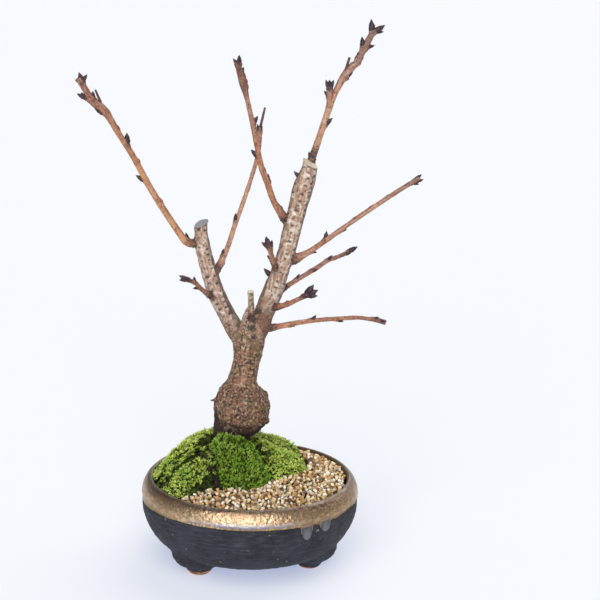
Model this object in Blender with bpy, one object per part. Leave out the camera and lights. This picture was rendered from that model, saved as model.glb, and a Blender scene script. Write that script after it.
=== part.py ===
"""A bare cherry bonsai in winter, in a round pot on three feet.

One fired pot, the soil in it with a drain net under it, six moss pads round the root, a bed of
gravel along the front and right wall, and the tree: a swollen base on a root stump, a neck, two
limbs cut short, and the young whips and spurs with their winter buds.

The origin is on the table under the middle of the pot, +Z is up and -Y is the front. The numbers
below are millimetres, and MM turns them into Blender's metres when an object is made.
"""
import math
import random

import bmesh
import bpy
from mathutils import Matrix, Vector, noise
from mathutils.geometry import delaunay_2d_cdt

MM = 0.001
SEED = 1207
# Faces that meet within this many degrees are merged after a Boolean
FLAT_ANGLE = 0.4
# A curve's caps are apart from its sides: points this close are one
CAP_WELD = 0.001

# Pot: radius and height along its outer side, from the flat bottom up to the lip
POT_SEGMENTS = 40
SOIL_SEGMENTS = 32
POT_OUTER = [(39.0, 7.6), (43.6, 8.4), (47.4, 10.2), (50.4, 13.0), (53.2, 16.6), (56.0, 21.2),
             (58.4, 26.4), (59.7, 31.2), (60.0, 36.0), (59.5, 38.9),
             (60.3, 40.2), (60.1, 42.8), (59.0, 45.8), (57.3, 48.2), (55.8, 49.4)]
# The inner side, from the lip down to the floor and the drain hole's edge
POT_INNER = [(54.6, 49.2), (54.0, 47.6), (54.4, 42.0), (54.2, 34.0), (51.6, 25.0), (46.6, 18.0),
             (40.0, 14.2), (33.0, 12.8)]
POT_FLOOR = POT_INNER[-1][1]
DRAIN_RADIUS = 7.5
FOOT_CIRCLE = 35.7
FOOT_FIRST_ANGLE = 11.3
# A foot's own outline: a small stub under a broad lump that grows out of the wall
FOOT_OUTLINE = [(4.4, 0.0), (5.6, 0.7), (7.2, 2.6), (8.1, 4.8), (10.4, 5.6), (13.0, 7.4),
                (14.9, 10.2), (15.4, 13.0), (14.6, 15.6), (11.5, 17.6)]
FOOT_SEGMENTS = 12

# Soil, its mound and what lies on it
WALL_GAP = 0.5
SOIL_FLAT_TOP = 44.0
SOIL_RING_SHARES = [1.0, 0.96, 0.82, 0.66, 0.5, 0.3]
HEART = (-9.0, 9.0)
MOUND_TOP = 70.5
MOUND_DROP = 20.0
# The flat crown's share of the way out, and how round the slope below it falls: each has a mean,
# a change, and the direction in degrees from +X where it is greatest
MOUND_FLAT_SHARE = (0.17, 0.12, 170.0)
MOUND_POWER = (1.3, 0.35, -130.0)
MOUND_MARGIN = 2.0
MOSS_THICKNESS = 5.0
MOSS_LIFT = 1.0
MOSS_GAP = 1.6
# How far the moss reaches from the mound's heart: direction in degrees from +X, and reach
MOSS_REACH = [(-124.0, 54.0), (-113.0, 44.5), (-106.0, 38.5), (-92.0, 36.0), (-76.0, 38.0),
              (-62.0, 35.0), (-44.0, 31.5), (-26.0, 34.5), (-9.0, 39.5), (8.0, 41.5),
              (24.0, 42.0), (41.0, 46.5), (52.0, 54.0)]
# Each pad's middle, and how much it stands out over the mound
MOSS_PADS = {
    "moss_front": ((-8.0, -13.0), 1.0),
    "moss_left_front": ((-31.0, -21.0), 0.4),
    "moss_left_back": ((-38.0, 7.0), 0.5),
    "moss_back_left": ((-21.0, 37.0), 0.3),
    "moss_back_right": ((8.0, 39.0), 0.1),
    "moss_right": ((18.0, 9.0), 0.1),
}
MOSS_DIRECTIONS = 22
# A pad's rings, as shares of its plan: underneath, and over the top inside its edge
MOSS_UNDER_RINGS = [0.55, 0.97]
MOSS_OVER_RINGS = [0.86, 0.62, 0.32]
MOSS_EDGE_LIFT = 0.4
MOSS_LUMP_HEIGHT = 0.9
MOSS_LUMP_SCALE = 0.16
MOSS_STEP = 0.25

GRAVEL_AT_WALL = 46.6
GRAVEL_AT_MOSS = 50.2
GRAVEL_GAP = 0.4
GRAVEL_LIFT = 0.4
GRAVEL_BORDER_STEPS = 64
GRAVEL_LEAST_WIDTH = 1.2
GRAVEL_FULL_WIDTH = 14.0
GRAVEL_MARGIN = 1.0
# Stones larger than life: their spacing, height, stray from the lattice, and the shares of the
# height that their crowns and the dips between them reach
PEBBLE_SPACING = 3.8
PEBBLE_HEIGHT = 1.5
PEBBLE_STRAY = 0.2
PEBBLE_CROWN = (0.7, 1.15)
PEBBLE_DIP = (-0.1, 0.25)

NET_SIDE = 20.0
NET_THICKNESS = 1.2
NET_CELLS = 3
NET_BAR = 1.2
NET_LIFT = 0.3

# Tree: the plain hole that its stump stands in, and how near the moss comes to the root
ROOT_PLACE = (-8.6, 10.0)
STUMP_HOLE_RADIUS = 11.6
STUMP_HOLE_BOTTOM = 56.0
STUMP_HOLE_SEGMENTS = 24
ROOT_CLEARANCE = 13.4
# How round each kind of branch is, as a curve's bevel resolution: 0 has 4 sides, 4 has 12
TRUNK_ROUNDNESS = 4
LIMB_ROUNDNESS = 3
WHIP_ROUNDNESS = 1
STALK_ROUNDNESS = 0
BURL_HEIGHT = 1.0
BURL_SCALE = 0.13

# Each limb, whip and spur: x, y, z and radius at the points that give it its line
TRUNK = [(-8.2, 10.0, 56.5, 7.6), (-8.2, 10.0, 64.0, 9.0), (-9.4, 10.0, 69.0, 10.6),
         (-9.8, 10.0, 73.0, 11.6), (-8.3, 10.0, 77.5, 13.3), (-6.2, 10.0, 82.5, 15.6),
         (-6.2, 10.0, 87.5, 16.1), (-6.0, 10.0, 92.5, 14.7), (-6.0, 10.0, 97.0, 10.9),
         (-5.0, 10.0, 101.0, 8.3), (-4.4, 10.0, 106.0, 7.7), (-3.4, 10.0, 112.0, 7.3),
         (-2.4, 10.0, 118.0, 8.2), (-2.1, 10.0, 124.0, 8.9), (-1.9, 10.0, 129.0, 8.4),
         (-1.6, 10.0, 133.0, 6.0)]
LIMBS = {
    "left_limb": [(-3.5, 10.0, 121.5, 5.6), (-9.2, 9.0, 130.5, 5.3), (-14.3, 7.5, 140.0, 4.8),
                  (-19.2, 6.0, 150.0, 4.8), (-22.9, 4.5, 161.0, 4.5), (-25.7, 3.0, 171.0, 4.2),
                  (-27.7, 1.6, 181.0, 4.1), (-28.4, 0.7, 188.0, 3.6), (-28.5, 0.1, 193.3, 3.5)],
    "right_limb": [(-1.0, 10.0, 121.5, 5.6), (3.0, 11.0, 130.5, 5.6), (6.4, 12.0, 140.5, 5.5),
                   (10.6, 13.0, 151.5, 5.7), (14.6, 14.0, 163.5, 5.0), (18.2, 15.3, 175.0, 4.9),
                   (20.6, 16.4, 186.0, 5.1), (23.2, 17.5, 197.0, 5.1), (25.4, 18.4, 206.0, 5.5),
                   (27.6, 19.1, 213.5, 5.4), (29.4, 19.8, 219.0, 4.4), (30.0, 20.0, 222.0, 4.1)],
    "stub": [(-0.6, 9.0, 128.0, 3.6), (-0.4, 7.8, 136.0, 3.0), (-0.5, 7.5, 140.0, 1.7),
             (-1.0, 7.3, 147.0, 1.7), (-1.4, 7.0, 154.0, 1.7)],
}
WHIPS = {
    "left_whip": [(-28.6, 1.0, 181.5, 2.4), (-35.7, -0.5, 182.3, 2.2), (-40.5, -2.0, 188.5, 2.0),
                  (-48.2, -5.0, 201.1, 1.9), (-56.2, -8.5, 215.4, 1.8), (-63.4, -12.0, 230.3, 1.7),
                  (-71.4, -16.0, 244.6, 1.7), (-78.2, -20.5, 257.2, 2.1), (-83.7, -23.5, 262.6, 1.8),
                  (-87.4, -26.5, 269.0, 1.8), (-90.4, -28.5, 275.0, 1.7)],
    "left_shoot": [(-81.6, -20.8, 258.6, 1.5), (-85.3, -22.3, 261.8, 1.2), (-88.0, -23.5, 264.3, 1.1)],
    "back_whip": [(-21.0, 5.0, 163.5, 2.0), (-17.8, 8.2, 169.3, 1.9), (-14.3, 11.5, 177.0, 1.5),
                  (-10.6, 16.0, 188.5, 1.4), (-5.8, 21.5, 202.0, 1.3), (-2.1, 26.0, 213.3, 1.2),
                  (0.8, 30.2, 223.7, 1.3), (1.8, 33.6, 232.6, 1.4), (1.6, 36.0, 239.0, 1.6)],
    "cross_whip": [(20.5, 17.0, 186.5, 2.4), (16.1, 15.5, 193.5, 2.3), (10.7, 13.0, 202.5, 1.8),
                   (6.8, 10.0, 213.8, 1.8), (3.3, 7.3, 224.0, 1.7), (0.8, 4.0, 236.6, 1.5),
                   (-1.7, 0.8, 249.6, 1.5), (-4.3, -2.3, 261.4, 1.4), (-6.3, -4.5, 269.6, 2.2),
                   (-8.2, -6.2, 276.3, 1.8), (-9.4, -8.0, 282.0, 1.7)],
    "leader": [(30.2, 21.5, 216.0, 2.0), (31.6, 21.0, 226.5, 1.9), (34.1, 21.7, 234.9, 1.9),
               (37.2, 23.0, 245.3, 1.9), (40.0, 24.1, 254.1, 1.9), (43.1, 25.2, 262.0, 1.8),
               (48.3, 26.5, 271.4, 2.3), (53.9, 27.4, 277.4, 1.9), (57.1, 28.3, 283.6, 1.9),
               (60.3, 29.1, 289.8, 1.8), (63.5, 30.0, 295.3, 1.6)],
    "leader_spur": [(39.6, 24.2, 252.5, 1.7), (39.6, 22.0, 260.4, 1.6), (39.5, 19.5, 265.5, 1.5)],
    "right_long": [(18.8, 15.0, 168.4, 2.4), (23.8, 12.8, 171.3, 2.5), (30.5, 10.0, 175.9, 1.7),
                   (39.3, 6.5, 183.1, 1.6), (50.0, 3.0, 192.2, 1.4), (60.8, -0.5, 201.1, 1.4),
                   (71.4, -3.0, 209.3, 1.3), (80.8, -4.5, 216.2, 1.3), (88.4, -5.5, 221.3, 1.2)],
    "right_back": [(13.1, 14.0, 150.8, 1.8), (16.9, 17.0, 153.0, 1.6), (24.1, 22.3, 156.5, 1.4),
                   (32.5, 28.6, 160.3, 1.4), (41.1, 34.9, 164.6, 1.3), (49.0, 40.1, 166.6, 1.2),
                   (54.6, 44.0, 168.7, 1.2)],
    "right_short": [(9.4, 11.0, 143.0, 2.0), (13.4, 7.6, 144.7, 1.8), (19.1, 2.7, 147.7, 1.5),
                    (25.5, -3.3, 152.6, 1.3), (30.4, -8.0, 156.3, 1.5)],
    "right_low": [(4.1, 10.0, 130.3, 2.2), (9.0, 10.3, 131.6, 2.0), (16.8, 12.3, 132.7, 1.7),
                  (26.7, 14.9, 134.1, 1.5), (37.7, 17.7, 134.9, 1.3), (49.5, 20.6, 135.1, 1.3),
                  (58.4, 22.9, 135.1, 1.2), (65.2, 24.6, 133.9, 1.2), (70.9, 26.0, 132.4, 1.4),
                  (73.9, 26.7, 131.6, 1.6)],
    "left_spur": [(-19.1, 5.0, 148.6, 1.7), (-22.4, 1.8, 151.4, 1.6), (-27.2, -3.2, 156.4, 1.3),
                  (-31.0, -7.5, 161.3, 1.2), (-35.9, -12.0, 164.8, 1.2)],
    "mid_spur": [(14.0, 13.0, 160.8, 1.9), (12.0, 10.2, 166.4, 1.6), (10.3, 7.4, 172.2, 1.5),
                 (8.7, 4.2, 178.6, 1.4), (7.7, 2.0, 183.2, 1.3)],
}
STALKS = {
    "left_stalk": [(-78.6, -20.5, 257.8, 0.8), (-82.3, -24.5, 268.3, 0.6)],
    "back_stalk": [(1.8, 36.0, 238.0, 0.8), (4.5, 38.0, 250.0, 0.6)],
    "leader_stalk": [(47.8, 26.0, 272.5, 0.8), (50.0, 24.5, 280.5, 0.7)],
}
# Buds: share of the way along the branch, side in degrees (0 right, 90 front, 180 left, 270
# back, as seen from the front looking along the branch), lean away from it in degrees, and length
BUDS = {
    "left_whip": [(0.07, 345, 25, 5.0), (0.30, 270, 20, 4.0), (0.42, 195, 35, 6.5),
                  (0.52, 270, 20, 4.5), (0.61, 340, 30, 7.5), (0.70, 265, 20, 4.0),
                  (0.79, 195, 40, 6.5), (0.88, 330, 30, 5.0), (0.98, 0, 60, 5.5),
                  (0.98, 20, 20, 4.5), (0.99, 315, 15, 6.0), (0.99, 195, 35, 3.5)],
    "left_shoot": [(0.96, 225, 20, 5.5), (0.96, 290, 15, 4.0)],
    "back_whip": [(0.03, 140, 20, 4.0), (0.09, 320, 15, 4.0), (0.13, 145, 25, 4.5),
                  (0.37, 145, 25, 5.0), (0.60, 280, 25, 4.5), (0.98, 35, 20, 4.0),
                  (0.98, 130, 15, 4.5)],
    "cross_whip": [(0.14, 325, 10, 4.0), (0.31, 335, 20, 5.0), (0.38, 270, 20, 4.5),
                   (0.46, 195, 35, 6.5), (0.56, 270, 25, 4.0), (0.65, 350, 40, 5.5),
                   (0.75, 265, 20, 4.0), (0.86, 350, 25, 3.5), (0.89, 340, 25, 4.5),
                   (0.93, 345, 30, 4.5), (0.99, 205, 25, 4.0), (0.99, 280, 10, 4.0)],
    "leader": [(0.10, 185, 25, 5.5), (0.22, 270, 20, 4.0), (0.34, 10, 30, 6.5),
               (0.45, 260, 25, 4.5), (0.66, 10, 20, 6.0), (0.72, 195, 20, 4.0),
               (0.78, 350, 20, 4.5), (0.80, 165, 15, 4.5), (0.87, 175, 35, 7.0),
               (0.87, 355, 20, 4.0), (0.88, 5, 50, 5.5), (0.93, 270, 25, 4.5),
               (0.98, 175, 45, 5.5), (0.99, 5, 45, 5.0), (0.99, 60, 10, 6.0)],
    "leader_spur": [(0.54, 195, 40, 4.5), (0.92, 225, 30, 5.5), (0.92, 320, 30, 5.5),
                    (0.95, 270, 10, 5.0)],
    "right_long": [(0.17, 345, 45, 4.0), (0.30, 190, 45, 5.5), (0.41, 340, 25, 4.0),
                   (0.53, 270, 25, 4.0), (0.66, 280, 20, 3.5), (0.78, 265, 25, 4.0),
                   (0.95, 355, 45, 4.0), (0.97, 345, 20, 5.0), (0.98, 205, 10, 4.5)],
    "right_back": [(0.27, 150, 45, 4.0), (0.47, 75, 25, 4.0), (0.58, 270, 25, 3.5),
                   (0.69, 130, 35, 4.5), (0.78, 280, 25, 3.5), (0.90, 65, 30, 4.0),
                   (0.96, 110, 30, 6.5), (0.98, 250, 20, 4.0)],
    "right_short": [(0.45, 280, 30, 5.0), (0.88, 260, 30, 5.5), (0.98, 250, 35, 7.0),
                    (0.98, 285, 30, 6.0), (0.98, 315, 40, 5.0)],
    "right_low": [(0.24, 350, 25, 3.5), (0.41, 170, 45, 4.5), (0.52, 270, 25, 3.5),
                  (0.61, 25, 20, 4.5), (0.74, 265, 20, 3.5), (0.90, 170, 35, 4.0),
                  (0.95, 130, 10, 5.0)],
    "left_spur": [(0.58, 190, 55, 4.0), (0.76, 340, 50, 4.0), (0.95, 215, 45, 5.0),
                  (0.96, 255, 30, 5.5), (0.96, 60, 20, 4.0)],
    "mid_spur": [(0.47, 210, 35, 4.0), (0.84, 325, 35, 4.5), (0.86, 265, 20, 5.5),
                 (0.88, 195, 50, 4.0)],
    "right_limb": [(0.29, 340, 40, 3.5), (0.39, 180, 60, 6.5), (0.92, 175, 60, 4.5)],
    "stub": [(0.48, 180, 40, 4.0)],
}
BUD_SIDES = 5
BUD_RINGS = 3
BUD_WIDTH_SHARE = 0.42
BUD_TAPER = 0.35
# How much of a bud's length is sunk in its branch, and where it starts, as a share of the radius
BUD_SINK = 0.15
BUD_START = 0.45


def material(name, colour, roughness):
    """Returns a plain Principled material."""
    new = bpy.data.materials.new(name)
    new.use_nodes = True
    shader = new.node_tree.nodes["Principled BSDF"]
    shader.inputs["Base Color"].default_value = (*colour, 1.0)
    shader.inputs["Roughness"].default_value = roughness
    shader.inputs["Metallic"].default_value = 0.0
    return new


def object_from(bm, name, finish=None, sharp_angle=50.0):
    """Turns a bmesh in millimetres into an object in metres, shaded smooth."""
    bmesh.ops.recalc_face_normals(bm, faces=bm.faces)
    bmesh.ops.scale(bm, vec=(MM, MM, MM), verts=bm.verts)
    mesh = bpy.data.meshes.new(name)
    bm.to_mesh(mesh)
    bm.free()
    mesh.shade_smooth()
    mesh.set_sharp_from_angle(angle=math.radians(sharp_angle))
    if finish is not None:
        mesh.materials.append(finish)
    new = bpy.data.objects.new(name, mesh)
    bpy.context.scene.collection.objects.link(new)
    return new


def combine(target, others, operation="UNION", solver="EXACT"):
    """Joins the other objects to the target, or cuts them from it, and removes them."""
    group = bpy.data.collections.new("operands")
    bpy.context.scene.collection.children.link(group)
    for other in others:
        bpy.context.scene.collection.objects.unlink(other)
        group.objects.link(other)
    modifier = target.modifiers.new("combine", "BOOLEAN")
    modifier.operation = operation
    modifier.operand_type = "COLLECTION"
    modifier.collection = group
    modifier.solver = solver
    seen = target.evaluated_get(bpy.context.evaluated_depsgraph_get())
    joined = bpy.data.meshes.new_from_object(seen)
    joined.name = target.name
    target.modifiers.clear()
    target.data = joined
    for other in others:
        bpy.data.objects.remove(other)
    bpy.data.collections.remove(group)
    tidy_flats(target)


def tidy_flats(target):
    """Merges what a Boolean leaves split on flat faces, then splits all into triangles."""
    bm = bmesh.new()
    bm.from_mesh(target.data)
    bmesh.ops.dissolve_limit(bm, angle_limit=math.radians(FLAT_ANGLE), verts=bm.verts, edges=bm.edges)
    bmesh.ops.triangulate(bm, faces=bm.faces)
    bm.to_mesh(target.data)
    bm.free()


def skin(rings, first_point=None, last_point=None):
    """Builds a closed solid through rings of points, each end closed by a point or a face."""
    bm = bmesh.new()
    loops = [[bm.verts.new(point) for point in ring] for ring in rings]
    count = len(rings[0])
    for low, high in zip(loops, loops[1:]):
        for index in range(count):
            after = (index + 1) % count
            bm.faces.new((low[index], low[after], high[after], high[index]))
    for point, loop in ((first_point, loops[0]), (last_point, loops[-1])):
        if point is None:
            bm.faces.new(loop)
            continue
        tip = bm.verts.new(point)
        for index in range(count):
            bm.faces.new((loop[index], loop[(index + 1) % count], tip))
    return bm


def circle(radius, height, segments, centre=(0.0, 0.0)):
    """Returns the points of a level circle, starting at the front."""
    points = []
    for index in range(segments):
        angle = 2 * math.pi * index / segments - math.pi / 2
        points.append((centre[0] + radius * math.cos(angle),
                       centre[1] + radius * math.sin(angle), height))
    return points


def turned(outline, segments, centre=(0.0, 0.0)):
    """Builds a turned solid from radius and height pairs, listed from one end to the other."""
    return skin([circle(radius, height, segments, centre) for radius, height in outline])


def block(name, side, low, high, centre=(0.0, 0.0), finish=None):
    """Builds a square block between two heights."""
    bm = bmesh.new()
    place = Matrix.Translation((*centre, (low + high) / 2))
    bmesh.ops.create_cube(bm, size=1.0, matrix=place @ Matrix.Diagonal((side, side, high - low, 1)))
    return object_from(bm, name, finish)


def foot_places():
    """Returns the three feet's middles: two in front, one behind, turned a little to the right."""
    places = []
    for angle in (-60.0, 60.0, 180.0):
        turn = math.radians(angle + FOOT_FIRST_ANGLE)
        places.append((FOOT_CIRCLE * math.sin(turn), -FOOT_CIRCLE * math.cos(turn)))
    return places


def build_pot(finish):
    """The bowl with its band and feet, hollowed, with a drain hole through the floor."""
    pot = object_from(turned(POT_OUTER, POT_SEGMENTS), "pot", finish)
    feet = [object_from(turned(FOOT_OUTLINE, FOOT_SEGMENTS, place), "foot")
            for place in foot_places()]
    combine(pot, feet)
    mouth = (POT_INNER[0][0], POT_OUTER[-1][1] + 1.0)
    hollow = object_from(turned([mouth] + POT_INNER, POT_SEGMENTS), "hollow")
    drain_outline = [(DRAIN_RADIUS, 0.0), (DRAIN_RADIUS, POT_FLOOR + 1.0)]
    drain = object_from(turned(drain_outline, POT_SEGMENTS // 2), "drain")
    combine(pot, [hollow, drain], "DIFFERENCE")
    return pot


def build_drain_net(finish):
    """A square of plastic net on the floor over the drain hole."""
    low = POT_FLOOR + NET_LIFT
    high = low + NET_THICKNESS
    net = block("drain_net", NET_SIDE, low, high, finish=finish)
    cell = (NET_SIDE - NET_BAR) / NET_CELLS
    places = [cell * (index + 0.5) - (NET_SIDE - NET_BAR) / 2 for index in range(NET_CELLS)]
    holes = [block("net_hole", cell - NET_BAR, low - NET_BAR, high + NET_BAR, (x, y))
             for x in places for y in places]
    combine(net, holes, "DIFFERENCE")
    return net


def between(stations, at):
    """Reads a value from (place, value) stations by straight lines."""
    if at <= stations[0][0]:
        return stations[0][1]
    for (place, value), (next_place, next_value) in zip(stations, stations[1:]):
        if at <= next_place:
            share = (at - place) / (next_place - place)
            return value + (next_value - value) * share
    return stations[-1][1]


def reach_to_circle(origin, direction, centre, radius):
    """Returns how far a level ray runs from a point inside a circle to the circle."""
    offset = Vector(origin) - Vector(centre)
    along = offset.dot(direction)
    return -along + math.sqrt(along * along - offset.length_squared + radius * radius)


def wall_radius(height):
    """The pot's inner radius at a height, by straight lines between its outline's points."""
    rising = sorted((z, radius) for radius, z in POT_INNER)
    return between(rising, height)


def moss_reach(direction):
    """How far the moss runs from the mound's heart in a level direction."""
    degrees = math.degrees(math.atan2(direction[1], direction[0]))
    wall = reach_to_circle(HEART, direction, (0.0, 0.0), wall_radius(48.0) - WALL_GAP)
    if degrees < MOSS_REACH[0][0] or degrees > MOSS_REACH[-1][0]:
        return wall
    return min(wall, between(MOSS_REACH, degrees))


def mound_share(x, y):
    """0 at the mound's heart, 1 at the moss's edge."""
    offset = Vector((x, y)) - Vector(HEART)
    return offset.length / moss_reach(offset.normalized())


def by_direction(value, away):
    """Reads a mean, a change and the direction where it is greatest in a level direction."""
    mean, change, greatest = value
    degrees = math.degrees(math.atan2(away[1], away[0]))
    return mean + change * math.cos(math.radians(degrees - greatest))


def mound_height(share, away):
    """The mound's height, moss included, from its heart at share 0 to its edge at share 1."""
    flat = by_direction(MOUND_FLAT_SHARE, away)
    fall = max(0.0, min(1.0, share) - flat) / (1.0 - flat)
    return MOUND_TOP - MOUND_DROP * fall ** by_direction(MOUND_POWER, away)


def moss_bed(x, y):
    """The height of a moss pad's underside over a point, just clear of the soil."""
    away = Vector((x, y)) - Vector(HEART)
    return mound_height(mound_share(x, y), away) - MOSS_THICKNESS + MOSS_LIFT


def build_soil(finish):
    """The packed soil: the pot's inside, the mound, and the plain hole for the stump."""
    top_radius = wall_radius(SOIL_FLAT_TOP) - WALL_GAP
    rings = []
    for radius, height in reversed(POT_INNER):
        if height < SOIL_FLAT_TOP - 1.0:
            rings.append(circle(radius - WALL_GAP, height + WALL_GAP, SOIL_SEGMENTS))
    rings.append(circle(top_radius, SOIL_FLAT_TOP, SOIL_SEGMENTS))
    rims = [Vector(point[:2]) for point in rings[-1]]
    heart = Vector(HEART)
    for share in SOIL_RING_SHARES:
        ring = []
        for rim in rims:
            away = (rim - heart).normalized()
            reach = min(moss_reach(away), (rim - heart).length) - MOUND_MARGIN
            place = heart + away * reach * share
            height = mound_height(share, away) - MOSS_THICKNESS
            if share == 1.0:
                height = SOIL_FLAT_TOP
            ring.append((place.x, place.y, height))
        rings.append(ring)
    peak = (HEART[0], HEART[1], MOUND_TOP - MOSS_THICKNESS)
    soil = object_from(skin(rings, last_point=peak), "soil", finish)
    hole_outline = [(STUMP_HOLE_RADIUS, STUMP_HOLE_BOTTOM), (STUMP_HOLE_RADIUS, MOUND_TOP)]
    hole = object_from(turned(hole_outline, STUMP_HOLE_SEGMENTS, ROOT_PLACE), "stump_hole")
    recess_top = POT_FLOOR + NET_LIFT + NET_THICKNESS + NET_LIFT
    recess = block("net_recess", NET_SIDE + 2 * NET_LIFT, 0.0, recess_top)
    combine(soil, [hole, recess], "DIFFERENCE")
    return soil


def on_own_ground(place, name):
    """Says whether a point lies in a pad's own share of the mound, clear of root and edge."""
    if mound_share(*place) > 1.0 or (place - Vector(ROOT_PLACE)).length < ROOT_CLEARANCE:
        return False
    middle = Vector(MOSS_PADS[name][0])
    for other, (rival, _) in MOSS_PADS.items():
        if other == name:
            continue
        apart = (Vector(rival) - middle).length
        past_halfway = (place - middle).length_squared - (place - Vector(rival)).length_squared
        if past_halfway / (2 * apart) > -MOSS_GAP / 2:
            return False
    return True


def pad_outline(name):
    """The plan of a moss pad: how far its own ground runs from its middle, all round."""
    middle = Vector(MOSS_PADS[name][0])
    points = []
    for index in range(MOSS_DIRECTIONS):
        angle = 2 * math.pi * index / MOSS_DIRECTIONS
        away = Vector((math.cos(angle), math.sin(angle)))
        reach = 0.0
        while on_own_ground(middle + away * (reach + MOSS_STEP), name):
            reach += MOSS_STEP
        points.append(middle + away * reach)
    return middle, points


def build_moss_pad(name, finish):
    """A low cushion of moss that follows the mound and rounds over at its edge."""
    middle, outline = pad_outline(name)
    bulge = MOSS_PADS[name][1]

    def ring(share, lift_share):
        points = []
        for point in outline:
            x, y = middle.lerp(point, share)
            lump = MOSS_LUMP_HEIGHT * noise.noise(Vector((x, y, 0.0)) * MOSS_LUMP_SCALE)
            lift = MOSS_THICKNESS * lift_share + (bulge + lump) * lift_share ** 2
            points.append((x, y, moss_bed(x, y) + lift))
        return points

    rings = [ring(share, 0.0) for share in MOSS_UNDER_RINGS] + [ring(1.0, MOSS_EDGE_LIFT)]
    rings += [ring(share, 1.0 - share ** 6 / 2) for share in MOSS_OVER_RINGS]
    base = (*middle, moss_bed(*middle))
    peak = (*middle, moss_bed(*middle) + MOSS_THICKNESS + bulge)
    return object_from(skin(rings, base, peak), name, finish, sharp_angle=70.0)


def gravel_strip(away):
    """Where the gravel starts and ends in a level direction from the mound's heart."""
    wall = wall_radius(GRAVEL_AT_WALL) - WALL_GAP
    return moss_reach(away) + GRAVEL_GAP, reach_to_circle(HEART, away, (0.0, 0.0), wall)


def gravel_border():
    """The plan of the gravel: along the wall, and back along the moss."""
    heart = Vector(HEART)
    first, last = MOSS_REACH[0][0], MOSS_REACH[-1][0]
    outer, inner = [], []
    for index in range(GRAVEL_BORDER_STEPS + 1):
        angle = math.radians(first + (last - first) * index / GRAVEL_BORDER_STEPS)
        away = Vector((math.cos(angle), math.sin(angle)))
        near, far = gravel_strip(away)
        if far - near > GRAVEL_LEAST_WIDTH:
            outer.append(heart + away * far)
            inner.append(heart + away * near)
    return outer + inner[::-1]


def inside_border(place):
    """Says whether a point lies on the gravel, well inside its border."""
    offset = place - Vector(HEART)
    degrees = math.degrees(math.atan2(offset.y, offset.x))
    if not MOSS_REACH[0][0] < degrees < MOSS_REACH[-1][0]:
        return False
    near, far = gravel_strip(offset.normalized())
    return near + GRAVEL_MARGIN < offset.length < far - GRAVEL_MARGIN


def gravel_level(place):
    """The gravel's height, which rises from the wall to the moss where the strip is wide."""
    offset = place - Vector(HEART)
    near, far = gravel_strip(offset.normalized())
    rise = (GRAVEL_AT_MOSS - GRAVEL_AT_WALL) * min(1.0, (far - near) / GRAVEL_FULL_WIDTH)
    share = (offset.length - near) / (far - near)
    return GRAVEL_AT_WALL + rise * (1.0 - min(1.0, max(0.0, share)))


def pebble_points(rng):
    """The stones' crowns and the dips between them, on a triangle lattice with three colours."""
    pitch = PEBBLE_SPACING / math.sqrt(3)
    size = int(2 * POT_OUTER[-1][0] / pitch)
    points, tops = [], []
    for row in range(-size, size):
        for column in range(-size, size):
            stray = Vector((rng.uniform(-1, 1), rng.uniform(-1, 1))) * PEBBLE_STRAY
            place = (Vector((column + row / 2, row * math.sqrt(3) / 2)) + stray) * pitch
            if not inside_border(place):
                continue
            crown = (column - row) % 3 == 0
            share = rng.uniform(*PEBBLE_CROWN) if crown else rng.uniform(*PEBBLE_DIP)
            points.append(place)
            tops.append(gravel_level(place) + PEBBLE_HEIGHT * share)
    return points, tops


def build_gravel(finish):
    """The crescent of small stones: a flat bed whose top rises and falls stone by stone."""
    border = gravel_border()
    points, tops = pebble_points(random.Random(SEED))
    points = border + points
    tops = [gravel_level(place) for place in border] + tops
    loop = list(range(len(border)))
    plan, _, triangles, origins, _, _ = delaunay_2d_cdt(points, [], [loop], 1, 1e-4)
    bm = bmesh.new()
    upper = [bm.verts.new((*place, tops[origins[index][0]])) for index, place in enumerate(plan)]
    for triangle in triangles:
        bm.faces.new([upper[index] for index in triangle])
    edges = [edge for edge in bm.edges if edge.is_boundary]
    for part in bmesh.ops.extrude_edge_only(bm, edges=edges)["geom"]:
        if isinstance(part, bmesh.types.BMVert):
            part.co.z = SOIL_FLAT_TOP + GRAVEL_LIFT
    rim = [edge for edge in bm.edges if edge.is_boundary]
    bmesh.ops.contextual_create(bm, geom=rim)
    bmesh.ops.triangulate(bm, faces=bm.faces)
    return object_from(bm, "gravel", finish, sharp_angle=20.0)


def tube(name, stations, roundness, smooth=False):
    """A round branch through stations of x, y, z and radius, with closed ends."""
    curve = bpy.data.curves.new(name, "CURVE")
    curve.dimensions = "3D"
    curve.bevel_depth = 1.0
    curve.bevel_resolution = roundness
    curve.use_fill_caps = True
    spline = curve.splines.new("BEZIER" if smooth else "POLY")
    points = spline.bezier_points if smooth else spline.points
    points.add(len(stations) - 1)
    for point, (x, y, z, radius) in zip(points, stations):
        point.co = (x, y, z) if smooth else (x, y, z, 1.0)
        point.radius = radius
        if smooth:
            point.handle_left_type = "AUTO"
            point.handle_right_type = "AUTO"
    spline.resolution_u = 2
    guide = bpy.data.objects.new(name, curve)
    bpy.context.scene.collection.objects.link(guide)
    seen = guide.evaluated_get(bpy.context.evaluated_depsgraph_get())
    mesh = bpy.data.meshes.new_from_object(seen)
    bm = bmesh.new()
    bm.from_mesh(mesh)
    bmesh.ops.remove_doubles(bm, verts=bm.verts, dist=CAP_WELD)
    bpy.data.objects.remove(guide)
    bpy.data.meshes.remove(mesh)
    return bm


def roughen(bm, height, scale, above):
    """Pushes the points over a level in or out along their normals, for burls and old bark."""
    bm.normal_update()
    for vertex in bm.verts:
        if vertex.co.z > above:
            vertex.co += vertex.normal * height * noise.noise(vertex.co * scale)


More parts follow.
